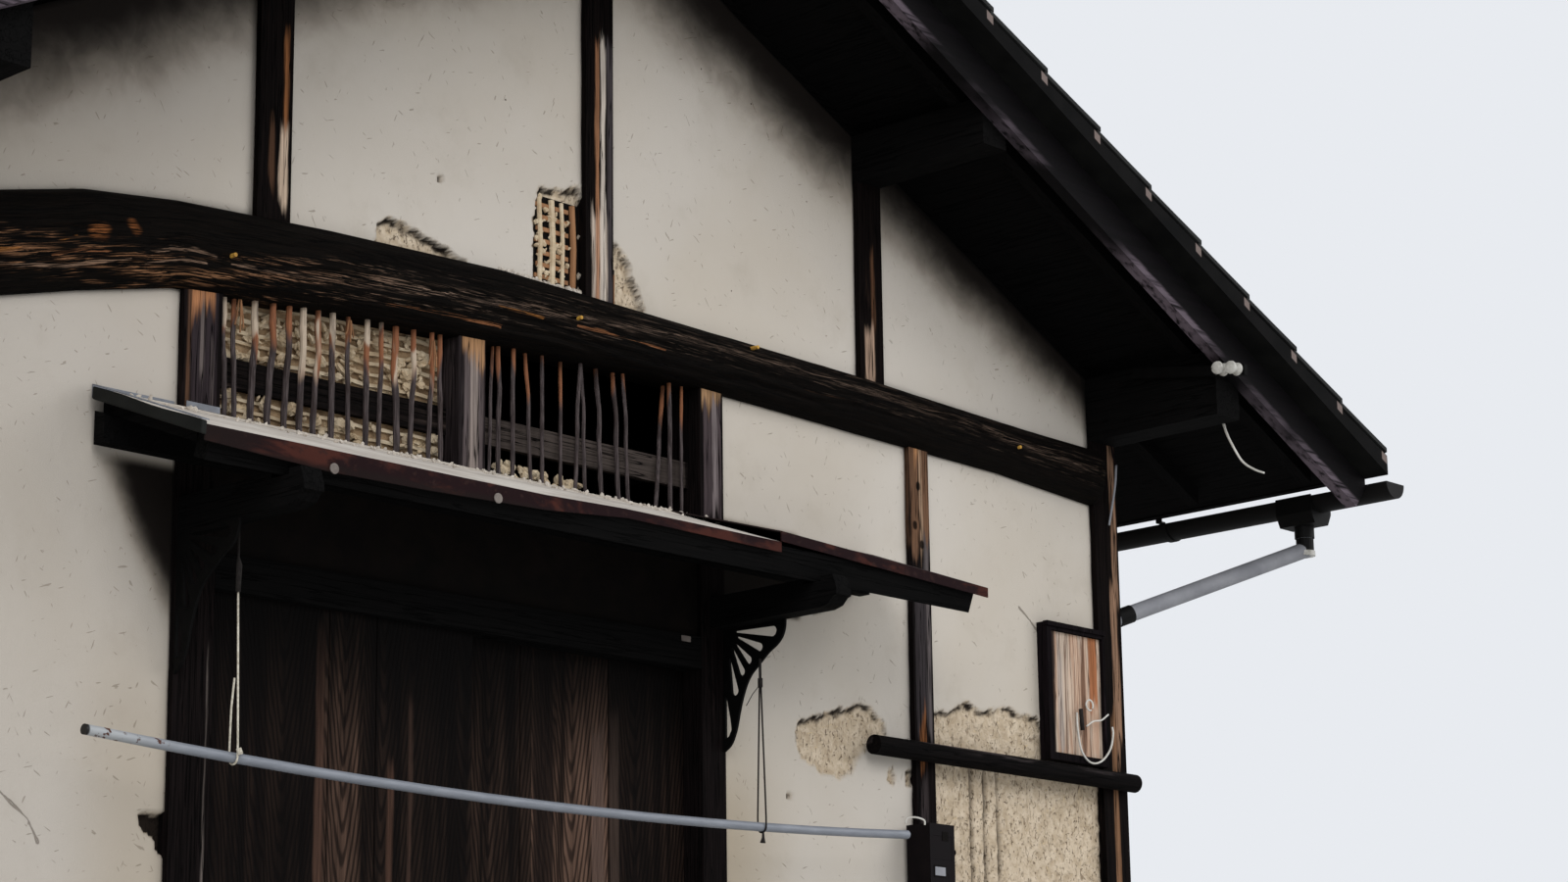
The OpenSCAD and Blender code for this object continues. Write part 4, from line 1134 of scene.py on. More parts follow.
class Grower(Tree):
    """A Geometry Nodes tree that takes a guide mesh and named inputs and gives a mesh."""

    def __init__(self, name: str, **kinds: str) -> None:
        """Starts a tree with inputs of these names and kinds."""
        super().__init__(bpy.data.node_groups.new(name, "GeometryNodeTree"))
        self.ids: dict[str, str] = {}
        for label, kind in {"Geometry": "Geometry", **kinds}.items():
            made = self.nodes.interface.new_socket(label, in_out="INPUT",
                                                   socket_type=f"NodeSocket{kind}")
            self.ids[label] = made.identifier
        self.nodes.interface.new_socket("Geometry", in_out="OUTPUT",
                                        socket_type="NodeSocketGeometry")

    def of(self, name: str) -> Sock:
        """Gives a named input."""
        return self.node("NodeGroupInput", {}, {}, name)

    def close(self, geometry: Sock) -> None:
        """Ends the tree with real meshes in their finish."""
        real = self.node("GeometryNodeRealizeInstances", {}, {"Geometry": geometry})
        coat = self.node("GeometryNodeSetMaterial", {},
                         {"Geometry": real, "Material": self.of("Finish")})
        self.node("NodeGroupOutput", {}, {"Geometry": coat})

    def grow(self, guide: Piece, values: dict) -> Piece:
        """Runs the tree on a guide mesh and keeps the result as plain mesh."""
        modifier = guide.modifiers.new("grow", "NODES")
        modifier.node_group = self.nodes
        for name, value in values.items():
            modifier[self.ids[name]] = value
        guide.update_tag()
        bake_modifiers(guide)
        return guide


def item_mesh(shape: Shape, finish: Finish) -> Piece:
    """Makes an object that only serves to be copied, out of the scene's collection."""
    piece = shape.build([finish])
    bpy.context.scene.collection.objects.unlink(piece)
    return piece


def copies_tree() -> Grower:
    """Builds the tree that sets an item at each guide point, turned and sized by attributes."""
    grower = Grower("copies_on_guide_points", Item="Object", Finish="Material")
    item = grower.node("GeometryNodeObjectInfo", {}, {"Object": grower.of("Item")}, "Geometry")
    turn, size = (grower.node("GeometryNodeInputNamedAttribute", {"data_type": "FLOAT_VECTOR"},
                              {"Name": name}) for name in ("turn", "size"))
    spin = grower.node("FunctionNodeEulerToRotation", {}, {0: turn})
    grower.close(grower.node("GeometryNodeInstanceOnPoints", {}, {
        "Points": grower.of("Geometry"), "Instance": item, "Rotation": spin, "Scale": size}))
    return grower


def tile_tree() -> Grower:
    """Builds the tree that lays tiles in courses and columns on one slope."""
    grower = Grower("tile_courses", Tile="Object", Courses="Int", Columns="Int", Step="Float",
                    Fall="Float", Pitch="Float", Top="Float", Turn="Float", Finish="Material")
    courses, columns, step, pitch = map(grower.of, ("Courses", "Columns", "Step", "Pitch"))
    run, width = (courses - 1.0) * step, (columns - 1.0) * pitch
    grid = grower.node("GeometryNodeMeshGrid", {}, {
        "Size X": run, "Size Y": width, "Vertices X": courses, "Vertices Y": columns})
    place = grower.node("GeometryNodeInputPosition")
    x = grower.axis(Axis.X, place) + run * 0.5
    y = grower.axis(Axis.Y, place) - pitch * 0.5
    z = grower.of("Top") - x / step * grower.of("Fall")
    spot = grower.node("ShaderNodeCombineXYZ", {}, {0: x, 1: y, 2: z})
    points = grower.node("GeometryNodeSetPosition", {}, {"Geometry": grid, "Position": spot})
    tile = grower.node("GeometryNodeObjectInfo", {}, {"Object": grower.of("Tile")}, "Geometry")
    wobble = grower.node("FunctionNodeRandomValue", {"data_type": "FLOAT_VECTOR"}, {
        0: (-0.004, -0.006, -0.004), 1: (0.004, 0.004, 0.004), "Seed": 7})
    copies = grower.node("GeometryNodeInstanceOnPoints", {}, {
        "Points": points, "Instance": tile, "Rotation": wobble})
    spin = grower.node("ShaderNodeCombineXYZ", {}, {2: grower.of("Turn")})
    grower.close(grower.node("GeometryNodeTransform", {}, {"Geometry": copies, "Rotation": spin}))
    return grower


@dataclass
class Copies:
    """Places for copies of one item: where each stands, how it is turned and how large it is."""

    name: str
    rows: list[tuple[Point, Point, Point]] = field(default_factory=list)

    def add(self, spot: Point, turn: Point, size: Point) -> None:
        """Adds one place."""
        self.rows.append((spot, tuple(turn), size))

    def grow(self, tree: Grower, item: Piece, finish: Finish) -> Piece:
        """Makes all copies as one mesh.

        Args:
            tree: the tree that puts them.
            item: the object that is copied.
            finish: the finish of all.

        Returns:
            The mesh's object.
        """
        mesh = bpy.data.meshes.new(self.name)
        spots, turns, sizes = zip(*self.rows)
        mesh.from_pydata(spots, [], [])
        for name, rows in (("turn", turns), ("size", sizes)):
            flat = [part for row in rows for part in row]
            mesh.attributes.new(name, "FLOAT_VECTOR", "POINT").data.foreach_set("vector", flat)
        guide = put(self.name, mesh)
        tree.grow(guide, {"Item": item, "Finish": WARDROBE.get(finish)})
        for name in ("turn", "size"):
            left = guide.data.attributes.get(name)
            if left:
                guide.data.attributes.remove(left)
        return guide


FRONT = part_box("front_posts")[0][1]
INNER_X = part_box("front_log_beam")[1][0]
AWNING_REACH = 0.431
LEFT_POST = (-1.4095, -1.2925)
RIGHT_POST = (0.3935, 0.4865)
FOURTH_POST = (1.300, 1.388)
LOG_SEAT = 2.795
LOG_BEND = ((-1, -0.260, -0.001), (-0.886, -0.203, 0.053), (-0.775, -0.138, 0.112),
            (-0.651, -0.076, 0.145), (-0.434, -0.037, 0.173), (-0.163, -0.012, 0.193),
            (0, 0, 0.185), (0.136, 0.007, 0.178), (0.479, -0.009, 0.162),
            (0.791, -0.024, 0.137), (1, -0.053, 0.128))


def log_edges(x: Array | float) -> tuple[Array, Array]:
    """Gives the heights of the log's underside and top at a place or places across the gable."""
    share = np.asarray(x) / INNER_X
    places = [row[0] for row in LOG_BEND]
    low = np.interp(share, places, [row[1] for row in LOG_BEND])
    high = np.interp(share, places, [row[2] for row in LOG_BEND])
    return LOG_SEAT + low, LOG_SEAT + high


def roof_underside(x: Array) -> Array:
    """Gives the height of the rafters' underside at a place or places across the gable."""
    return RAFTER_RIDGE - ROOF_PITCH * np.abs(x)


def rough_field(points: Array, scale: float, octaves: int = 3) -> Array:
    """Gives a noise value from about -1 to 1 for each point of an array."""
    return np.array([noise.fractal(Vector(p) * scale, 1.0, 2.0, octaves) for p in points])


def inner_depth(x: Array, z: Array, outline: Line) -> Array:
    """Gives how deep each point lies inside an outline, below zero outside it.

    Args:
        x: places across.
        z: places up.
        outline: the outline's corners in order.

    Returns:
        The depths in metres.
    """
    inside = np.zeros(x.shape, bool)
    near = np.full(x.shape, 1e9)
    for (x0, z0), (x1, z1) in zip(outline, [*outline[1:], outline[0]]):
        run, rise = x1 - x0, z1 - z0
        share = np.clip(((x - x0) * run + (z - z0) * rise) / (run * run + rise * rise), 0, 1)
        near = np.minimum(near, np.hypot(x - x0 - share * run, z - z0 - share * rise))
        if rise:
            spans = ((z0 > z) != (z1 > z)) & (x < (z - z0) * run / rise + x0)
            inside ^= spans
    return np.where(inside, near, -near)


@dataclass
class PlasterPanel:
    """Panel whose front is modelled in relief, with bare patches where its coat has dropped."""

    name: str
    node: str
    left: float
    right: float
    low: Heights
    high: Heights
    patches: Sequence[Line] = ()
    clefts: Sequence[tuple[float, float, float, float]] = ()
    holes: Sequence[Line] = ()
    spots: Line = ()
    cell: float = 0.008
    front: float = 0.018
    back: float = 0.083
    dig: float = 0.009

    def build(self) -> Piece:
        """Builds the panel as a closed shell with its marks for bare places and for the painted
        shade of deep places.
        """
        columns = max(2, round((self.right - self.left) / self.cell))
        xs = np.linspace(self.left, self.right, columns + 1)
        lows, highs = self.low(xs) * np.ones(xs.shape), self.high(xs) * np.ones(xs.shape)
        rows = max(2, round(float((highs - lows).max()) / self.cell))
        share = np.linspace(0, 1, rows + 1)[:, None]
        x = np.repeat(xs[None, :], rows + 1, 0).ravel()
        z = (lows + (highs - lows) * share).ravel()
        flat = np.stack([x, np.zeros_like(x), z], 1)
        bare, deep, relief = self.marks(flat)
        y = FRONT + self.front + relief
        shape = Shape(self.name)
        across = columns + 1
        front = np.stack([x, y, z], 1)
        quads = [(r * across + c, r * across + c + 1, (r + 1) * across + c + 1,
                  (r + 1) * across + c) for r in range(rows) for c in range(columns)]
        shape.add(front, quads)
        rim = [*range(across), *[r * across + columns for r in range(1, rows + 1)],
               *[rows * across + c for c in range(columns - 1, -1, -1)],
               *[r * across for r in range(rows - 1, 0, -1)]]
        start = len(shape.points)
        shape.add([(front[i][0], FRONT + self.back, front[i][2]) for i in rim], [])
        count = len(rim)
        for i in range(count):
            after = (i + 1) % count
            shape.faces.append((rim[after], rim[i], start + i, start + after))
            shape.marks.append(0)
        shape.faces.append(tuple(start + i for i in range(count))[::-1])
        shape.marks.append(0)
        shape.values = {"bare": [*bare, *[0.0] * count], "deep": [*deep, *[0.0] * count]}
        piece = shape.build([PLASTER])
        smooth_front(piece.data)
        return settle(piece, [self.node])

    def marks(self, flat: Array) -> tuple[Array, Array, Array]:
        """Gives each point's share of bareness and of painted shade in hollows, and its relief in
        metres.
        """
        x, z = flat[:, 0], flat[:, 2]
        wide = rough_field(flat, 2.2, 3) * 0.0025 + rough_field(flat, 9, 2) * 0.0012
        bare = np.zeros(x.shape)
        deep = np.zeros(x.shape)
        relief = wide
        if len(self.patches):
            ragged = rough_field(flat, 22, 3) * 0.012 + rough_field(flat, 75, 2) * 0.004
            inner = np.max([inner_depth(x, z, p) for p in self.patches], 0) + ragged
            above = np.max([inner_depth(x, z + 0.014, p) for p in self.patches], 0) + ragged
            # The rim under each patch's upper edge carries painted shadow.
            rim = smooth(inner, -0.007, 0.001) * smooth(above, 0.005, -0.006)
            bare = np.maximum(np.clip(0.5 + inner / 0.014, 0, 1), rim)
            hole = smooth(inner, -0.003, 0.005)
            lumps = rough_field(flat + 7, 24, 3) * 0.0035 + rough_field(flat, 70, 2) * 0.0018
            lip = smooth(inner, -0.03, -0.004) * (1 - hole) * -0.0015
            relief = wide * (1 - hole) + hole * (self.dig + lumps) + lip
            deep = rim * smooth(rough_field(flat + 3, 26, 2), -0.5, 0.1)
        # Clefts and holes below get painted shade as well as depth.
        for x0, z0, z1, width in self.clefts:
            centre = x0 + rough_field(flat * np.array([0, 0, 1.0]) + x0, 9, 2) * 0.006
            off = np.abs(x - centre)
            cut = smooth(off, width, width * 0.3) * smooth(z, z0 - 0.05, z0)
            cut = cut * smooth(z, z1 + 0.04, z1)
            relief = relief + cut * 0.02
            deep = np.maximum(deep, cut)
        pierced = [smooth(inner_depth(x, z, hole), -0.002, 0.004) for hole in self.holes]
        pierced += [smooth(np.hypot(x - x0, z - z0), 0.013, 0.006) for x0, z0 in self.spots]
        for cut in pierced:
            relief = relief + cut * 0.02
            bare, deep = np.maximum(bare, cut), np.maximum(deep, cut)
        return bare, deep, relief


def smooth_front(mesh: bpy.types.Mesh) -> None:
    """Shades small faces smooth and leaves a panel's sides and back flat."""
    sides = [len(p.vertices) == 4 and abs(p.normal.y) > 0.15 for p in mesh.polygons]
    mesh.polygons.foreach_set("use_smooth", sides)


MUD_EDGE = ((1.38, 1.96), (1.404, 1.971), (1.482, 1.994), (1.562, 2.021), (1.654, 2.007),
            (1.741, 2.031), (1.845, 2.015), (1.904, 2.021), (1.93, 1.99), (1.95, 1.87),
            (2.23, 1.85), (2.23, 0.72), (2.05, 0.66), (1.84, 0.73), (1.62, 0.66), (1.38, 0.7))
ROUND_PATCH = ((0.807, 1.887), (0.837, 1.901), (0.93, 1.925), (1.028, 1.956), (1.089, 1.969),
               (1.141, 1.948), (1.183, 1.915), (1.191, 1.884), (1.120, 1.863), (1.081, 1.826),
               (1.04, 1.77), (0.976, 1.741), (0.888, 1.756), (0.822, 1.783), (0.798, 1.832))
WEDGE = ((0.05, 3.173), (0.124, 3.125), (0.160, 3.05), (0.193, 2.982), (0.19, 2.94), (0.05, 2.94))
TOP_LOSS = ((-0.80, 2.93), (-0.79, 3.03), (-0.74, 3.055), (-0.637, 3.035), (-0.55, 3.015),
            (-0.49, 2.99), (-0.49, 2.93))
SMALL_LOSSES = (((1.192, 1.79), (1.212, 1.797), (1.222, 1.775), (1.212, 1.748), (1.197, 1.755)),
                ((1.268, 1.79), (1.2995, 1.80), (1.2995, 1.745), (1.275, 1.75)))
NOTCH = ((-1.484, 1.425), (-1.46, 1.437), (-1.43, 1.432), (-1.400, 1.437), (-1.400, 1.33),
         (-1.425, 1.345), (-1.435, 1.375), (-1.47, 1.39))
LATH_HOLE = ((-0.235, 2.93), (-0.235, 3.086), (-0.225, 3.21), (-0.214, 3.262), (-0.14, 3.27),
             (-0.066, 3.29), (-0.05, 3.26), (-0.05, 2.93))


@dataclass
class FrontWalls:
    """The plastered panels of the gable front that carry bare patches."""

    sill_top: float = 0.2706
    strut_half: float = 0.053
    strut_x: float = 1.141
    gap: float = 0.0003

    def build(self) -> list[Piece]:
        """Builds the panels beside the doorway and those above the log."""
        pieces = [self.low_panel("left_panel", "front_wall_left", -INNER_X, LEFT_POST[0],
                                 holes=[NOTCH], spots=[(-1.822, 2.747)]),
                  self.low_panel(
                      "middle_panel", "front_wall_middle", RIGHT_POST[1],
                      FOURTH_POST[0], patches=[ROUND_PATCH, *SMALL_LOSSES],
                      spots=[(0.765, 1.671)]),
                  self.low_panel("right_panel", "front_wall_right", FOURTH_POST[1], INNER_X,
                                 patches=[MUD_EDGE],
                                 clefts=[(1.584, 1.5, 1.84, 0.008), (1.649, 1.5, 1.842, 0.007),
                                         (1.711, 1.52, 1.85, 0.007)])]
        half = self.strut_half
        edges = [-INNER_X, -self.strut_x - half, -self.strut_x + half, -half, half,
                 self.strut_x - half, self.strut_x + half, INNER_X]
        losses = ((), (TOP_LOSS, LATH_HOLE), (WEDGE,), ())
        for number, patches in enumerate(losses):
            left, right = edges[2 * number: 2 * number + 2]
            pieces.append(PlasterPanel(
                f"gable_panel_{number + 1}", "front_gable_wall", left + self.gap, right - self.gap,
                lambda x: log_edges(x)[1] + self.gap, lambda x: roof_underside(x) - self.gap,
                patches, spots=[(-0.570, 3.204)], cell=0.008 if patches else 0.03,
                dig=0.018).build())
        return pieces

    def low_panel(self, name: str, node: str, left: float, right: float,
                  **marks: Sequence) -> Piece:
        """Builds a panel from the ground sill up to the log.

        Args:
            name: the piece's name.
            node: the node that it stands for.
            left: place of the post on its left.
            right: place of the post on its right.
            marks: its patches, clefts, holes and spots.

        Returns:
            The panel.
        """
        return PlasterPanel(
            name, node, left + self.gap, right - self.gap,
            lambda x: np.full(np.shape(x), self.sill_top),
            lambda x: log_edges(x)[0] - self.gap, **marks).build()


@dataclass
class LogBeam:
    """The bent log over the doorway, adzed round, with knots, checks and drawn-out ridges."""

    stations: int = 520
    around: int = 44
    belly: float = 0.056
    depth: float = 0.118
    knots: Sequence[Point] = (
        (-1.607, 0.33, 0.03), (-1.309, 0.2, 0.012), (0.22, 0.55, 0.02), (1.02, 0.4, 0.018),
        (1.759, 0.5, 0.02), (-0.62, 0.42, 0.018))

    def build(self) -> Piece:
        """Builds the log in place of the frame's own, with a map whose U runs along it."""
        ring = np.array(self.section())
        x = np.repeat(np.linspace(-INNER_X, INNER_X, self.stations), len(ring))
        depth, height, out, share = (np.tile(part, self.stations) for part in ring.T)
        low, high = log_edges(x)
        z = low + height * (high - low)
        y = depth - out * self.belly - out * self.relief(x, share)
        shape = Shape("bent_log")
        shape.loft(np.stack([x, FRONT + y, z], 1), len(ring))
        piece = shape.build([LOG_WOOD], soft=True)
        layer = piece.data.uv_layers.new(name="along")
        lie = np.stack([x + INNER_X, share], 1)
        loops = np.zeros(len(piece.data.loops), np.int32)
        piece.data.loops.foreach_get("vertex_index", loops)
        layer.data.foreach_set("uv", lie[loops].ravel())
        return settle(piece, ["front_log_beam"])

    def section(self) -> list[tuple[float, float, float, float]]:
        """Gives the section's points: depth, share of height, share of belly, share around."""
        back = [(self.depth, 0.2, 0, 0.0), (self.depth * 0.8, 0, 0, 0.04), (0, 0, 0, 0.12)]
        front = []
        steps = self.around - 6
        places, bulge = (0, 0.1, 0.3, 0.55, 0.8, 0.95, 1), (0, 0.55, 0.9, 1, 0.85, 0.45, 0)
        for i in range(1, steps):
            height = i / steps
            front.append((0, height, float(np.interp(height, places, bulge)), 0.12 + height * 0.5))
        end = [(0, 1, 0, 0.64), (self.depth * 0.8, 1, 0, 0.72), (self.depth, 0.8, 0, 0.76)]
        return back + front + end

    def relief(self, x: Array, share: Array) -> Array:
        """Gives the height of ridges and knots on the belly, in metres."""
        flow = share * 9 + rough_field(np.stack([x * 0.8, x * 0, share * 0.5], 1), 1.6, 3) * 1.1
        drawn = np.stack([x * 0.35, flow, flow * 0], 1)
        ridges = rough_field(drawn, 1.6, 4) * 0.010 + rough_field(drawn + 5, 5.5, 2) * 0.003
        total = ridges
        for place, height, size in self.knots:
            across = (share - (0.12 + height * 0.5)) / 0.5 * 0.17
            far = np.hypot((x - place) * 0.7, across)
            swirl = np.cos(far / size * 7) * 0.0025 * np.exp(-far / size / 1.8)
            total = total + np.exp(-(far / size) ** 2) * size * 0.45 + swirl
        return total


@dataclass
class RoofTiles:
    """Pantiles of both slopes, laid in courses over the frame's own tile bed."""

    columns: int = 25
    step: float = ROOF_REACH / COURSES
    thick: float = 0.014
    lift: float = 0.048

    def build(self, tree: Grower) -> list[Piece]:
        """Builds the tiles of both slopes."""
        low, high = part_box("right_roof_tiles")
        pitch = (high[1] - low[1]) / self.columns
        item = self.tile(pitch)
        pieces = []
        for side, turn in (("right", 0.0), ("left", math.pi)):
            name = f"{side}_pantiles"
            piece = tree.grow(put(name, bpy.data.meshes.new(name)), {
                "Tile": item, "Courses": COURSES, "Columns": self.columns, "Step": self.step,
                "Fall": ROOF_PITCH * ROOF_REACH / COURSES, "Pitch": pitch,
                "Top": TILE_BED_RIDGE + self.lift, "Turn": turn, "Finish": WARDROBE.get(TILE)})
            pieces.append(settle(piece))
        return pieces

    def tile(self, width: float) -> Piece:
        """Builds one pantile: a shallow pan and a roll, from its upper end down to its tip."""
        places = [0.0, 0.1, 0.3, 0.5, 0.6, 0.66, 0.74, 0.82, 0.9, 0.96, 1.0]
        rises = [0.012, 0.004, 0.0, 0.004, 0.012, 0.022, 0.035, 0.040, 0.033, 0.018, 0.006]
        shape = Shape("pantile")
        rings = []
        for x, sink in ((-0.012, 0.006), (self.step * 0.5, -0.054), (self.step + 0.001, -0.108)):
            outer = [(x, p * width, sink + r + self.thick) for p, r in zip(places, rises)]
            inner = [(x, p * width, sink + r) for p, r in zip(places[::-1], rises[::-1])]
            rings.extend(outer + inner)
        shape.loft(rings, 2 * len(places))
        return item_mesh(shape, TILE)


@dataclass
class Window:
    """The barred window: bars, lath and the mud that still fills its left half."""

    sill: float = 2.42
    left_bars: Line = (
        (-1.259, -1.269), (-1.226, -1.236), (-1.174, -1.184), (-1.122, -1.131), (-1.069, -1.078),
        (-1.022, -1.031), (-0.975, -0.983), (-0.921, -0.929), (-0.863, -0.870), (-0.808, -0.815),
        (-0.762, -0.769), (-0.703, -0.709), (-0.650, -0.655), (-0.593, -0.598), (-0.552, -0.557))
    right_bars: Line = (
        (-0.380, -0.359), (-0.345, -0.341), (-0.299, -0.302), (-0.228, -0.208), (-0.185, -0.186),
        (-0.116, -0.091), (-0.068, -0.046), (-0.024, -0.009), (0.039, 0.059), (0.107, 0.127),
        (0.141, 0.158), (0.240, 0.321), (0.302, 0.305), (0.349, 0.353))

    def build(self, tree: Grower) -> list[Piece]:
        """Builds bars, lath rows, mud and fibres."""
        rng = np.random.default_rng(11)
        return [*self.bars(tree, rng), self.lath_rows(tree, rng), self.mud(tree, rng),
                self.fibres()]

    def bars(self, tree: Grower, rng: np.random.Generator) -> list[Piece]:
        """Builds the bars of both halves, each with its own lean."""
        pieces = []
        bar = self.bar_item()
        for side, rows, wide, finish in (("left", self.left_bars, 0.0165, LEFT_BARS),
                                         ("right", self.right_bars, 0.0125, RIGHT_BARS)):
            spots = Copies(f"{side}_window_bars")
            for bottom, top in rows:
                height = float(log_edges(top)[0]) + 0.006 - self.sill
                lean = math.atan2(top - bottom, 0.38)
                size = wide * rng.uniform(0.8, 1.12)
                spots.add((bottom, FRONT + 0.030 + rng.uniform(-0.003, 0.003), self.sill),
                          (rng.uniform(-0.01, 0.01), lean, rng.uniform(0, 3)),
                          (size, size * 0.9, height / math.cos(lean)))
            pieces.append(settle(spots.grow(tree, bar, finish)))
        return pieces

    def lath_rows(self, tree: Grower, rng: np.random.Generator) -> Piece:
        """Builds the rows of split lath behind the left half."""
        lath = Copies("window_lath_rows")
        for i in range(12):
            z = self.sill + 0.016 + i * 0.029
            left, right = LEFT_POST[1] + 0.004, -0.52
            lath.add(((left + right) / 2, FRONT + 0.072, z), (0, rng.uniform(-0.006, 0.006), 0),
                     ((right - left) * 0.995, 0.010, 0.011 * rng.uniform(0.7, 1.1)))
        return settle(lath.grow(tree, self.lath_item(), LATH))

    def mud(self, tree: Grower, rng: np.random.Generator) -> Piece:
        """Builds the mud that fills the left half, and what is left of it in the right one."""
        mud = Copies("window_mud_lumps")
        for _ in range(260):
            x = rng.uniform(LEFT_POST[1] + 0.02, -0.53)
            z = rng.uniform(self.sill + 0.02, float(log_edges(x)[0]) - 0.01)
            size = rng.uniform(0.012, 0.034)
            if abs(z - 2.551) > 0.045:
                mud.add((x, FRONT + 0.062 + rng.uniform(-0.004, 0.006), z),
                        rng.uniform(0, 3, 3), (size * 1.3, size * 0.6, size))
        for _ in range(40):
            size = rng.uniform(0.014, 0.03)
            mud.add((rng.uniform(-0.346, 0.009), FRONT + 0.055,
                     self.sill + rng.uniform(0.006, 0.05)),
                    rng.uniform(0, 3, 3), (size * 1.5, size * 0.7, size))
        return settle(mud.grow(tree, lump_item(), LATH))

    @staticmethod
    def fibres() -> Piece:
        """Builds the fibres that hang beside three of the left bars."""
        fibres = Shape("window_fibres")
        for x, top, low in ((-1.225, 2.734, 2.648), (-0.872, 2.75, 2.691), (-0.589, 2.75, 2.665)):
            for shift in (-0.006, 0.0, 0.005):
                y = FRONT + 0.016 + abs(shift) * 0.5
                fibres.tube([
                    (x + shift * 0.6, y, top), (x + shift * 1.6, y - 0.002, (top + low) / 2),
                    (x + shift * 2.4, y, low + abs(shift) * 3)], 0.0022, 5)
        return fibres.fit("worn_timber", STICKS)

    @staticmethod
    def bar_item() -> Piece:
        """Builds a bar of unit size, slightly crooked, with the rings of its joints."""
        shape = Shape("bar")
        rings = []
        for z in np.linspace(0, 1, 13):
            swell = 1.0 + (0.12 if round(z * 12) % 4 == 2 else 0.0)
            bend = math.sin(z * 7) * 0.22 + math.sin(z * 17) * 0.1
            for k in range(8):
                turn = 2 * math.pi * k / 8
                rings.append((0.5 * swell * math.cos(turn) + bend, 0.5 * swell * math.sin(turn),
                              float(z)))
        shape.loft(rings, 8)
        return item_mesh(shape, LEFT_BARS)

    @staticmethod
    def lath_item() -> Piece:
        """Builds a row of split lath of unit size, ragged along its length."""
        shape = Shape("lath")
        rings = []
        for x in np.linspace(-0.5, 0.5, 25):
            swell = 1.0 + 0.3 * noise.noise(Vector((float(x) * 18, 2.0, 5.0)))
            lift = 0.8 * noise.noise(Vector((float(x) * 9, 7.0, 1.0)))
            for y, z in ((-0.5, -0.5), (0.5, -0.5), (0.5, 0.5), (-0.5, 0.5)):
                rings.append((float(x), y, z * swell + lift))
        shape.loft(rings, 4)
        return item_mesh(shape, LATH)


def lump_item() -> Piece:
    """Builds a broken lump of unit size."""
    shape = Shape("lump")
    rings = []
    for z, wide in ((-0.5, 0.3), (-0.2, 0.5), (0.2, 0.46), (0.5, 0.2)):
        for k in range(6):
            turn = math.pi * k / 3 + z
            far = wide * (0.85 + 0.3 * noise.noise(Vector((k * 1.7, z * 3, 2.0))))
            rings.append((far * math.cos(turn), far * math.sin(turn), z))
    shape.loft(rings, 6)
    return item_mesh(shape, DEBRIS)


@dataclass
class Awning:
    """Trims of the sheet awning: rake bar, flashing and clips."""

    left: float = -1.66
    right: float = 1.127
    reach: float = AWNING_REACH
    wall_z: float = 2.42
    slope: float = 0.162 / AWNING_REACH

    def height(self, out: float) -> float:
        """Gives the sheet's height so far out from the posts."""
        return self.wall_z - self.slope * out

    def build(self, tree: Grower) -> list[Piece]:
        """Builds the trims."""
        return [self.rake_bar(), self.rake_line(), self.flashing(), self.patches(),
                self.debris(tree), self.clips()]

    def rake_bar(self) -> Piece:
        """Builds the bar up the sheet's left edge, a little uneven along its top."""
        rake = Shape("awning_rake_bar")
        rings = []
        for out in np.linspace(0.004, self.reach + 0.002, 9):
            top = self.height(float(out)) + 0.006
            sag = 0.002 * math.sin(float(out) * 19)
            drop = 0.030
            for x, z in ((-0.013, top - drop), (0.002, top - drop - 0.002), (0.004, top + sag),
                         (-0.011, top + sag + 0.001)):
                rings.append((self.left + x, FRONT - float(out), z))
        rake.loft(rings, 4)
        return rake.fit("rusted_sheet", GREY_EDGE, bevel=0.003)

    def rake_line(self) -> Piece:
        """Builds the strip on top of that bar."""
        line = Shape("rake_top_line")
        line.loft([(self.left + x, FRONT - out, self.height(out) + z)
                   for out in (0.004, 0.15, 0.29, self.reach + 0.001)
                   for x, z in ((-0.012, 0.0095), (0.01, 0.0095), (0.01, 0.0125),
                                (-0.012, 0.0125))], 4)
        return line.fit("rusted_sheet", FLASHING)

    def flashing(self) -> Piece:
        """Builds the pale strip where the sheet meets the window's sill."""
        strip = Shape("wall_flashing")
        rings = []
        for x in np.linspace(self.left + 0.01, RIGHT_POST[1], 60):
            wave = 0.0012 * noise.noise(Vector((float(x) * 6, 0, 0)))
            for out, z in ((0.0005, 0.0005), (0.05, -0.018), (0.05, -0.0165), (0.002, 0.0025),
                           (0.0018, 0.0035 + wave), (0.0005, 0.0035 + wave)):
                rings.append((float(x), FRONT - out, self.wall_z + z))
        strip.loft(rings, 6)
        return strip.fit("rusted_sheet", DEBRIS)

    @staticmethod
    def patches() -> Piece:
        """Builds the two bare pieces of flashing at the left end."""
        patches = Shape("blue_grey_flashings")
        patches.box((-1.658, FRONT + 0.0135, 2.404), (-1.42, FRONT + 0.0165, 2.436))
        patches.box((-1.395, FRONT - 0.0024, 2.424), (-1.2935, FRONT - 0.0006, 2.44))
        return patches.fit("rusted_sheet", FLASHING)

    def debris(self, tree: Grower) -> Piece:
        """Builds the crumbs of plaster that lie on the sheet."""
        lumps = Copies("debris_on_awning")
        rng = np.random.default_rng(5)
        for _ in range(150):
            x, out = rng.uniform(-1.6, 0.44), rng.uniform(0.004, 0.2) ** 1.4 + 0.006
            size = rng.uniform(0.006, 0.016)
            lumps.add((x, FRONT - out, self.height(out) + size * 0.25),
                      rng.uniform(0, 3, 3), (size * rng.uniform(1, 2.2), size, size * 0.6))
        return settle(lumps.grow(tree, lump_item(), DEBRIS))

    def clips(self) -> Piece:
        """Builds the two round clips on the sheet's lip."""
        clips = Shape("lip_clips")
        top = self.height(self.reach)
        for x, drop in ((-1.284, 0.044), (-0.765, 0.034)):
            clips.tube([(x, FRONT - self.reach - 0.0006, top - drop),
                        (x, FRONT - self.reach - 0.0034, top - drop)], 0.013, 20)
        return clips.fit("rusted_sheet", CLIP)


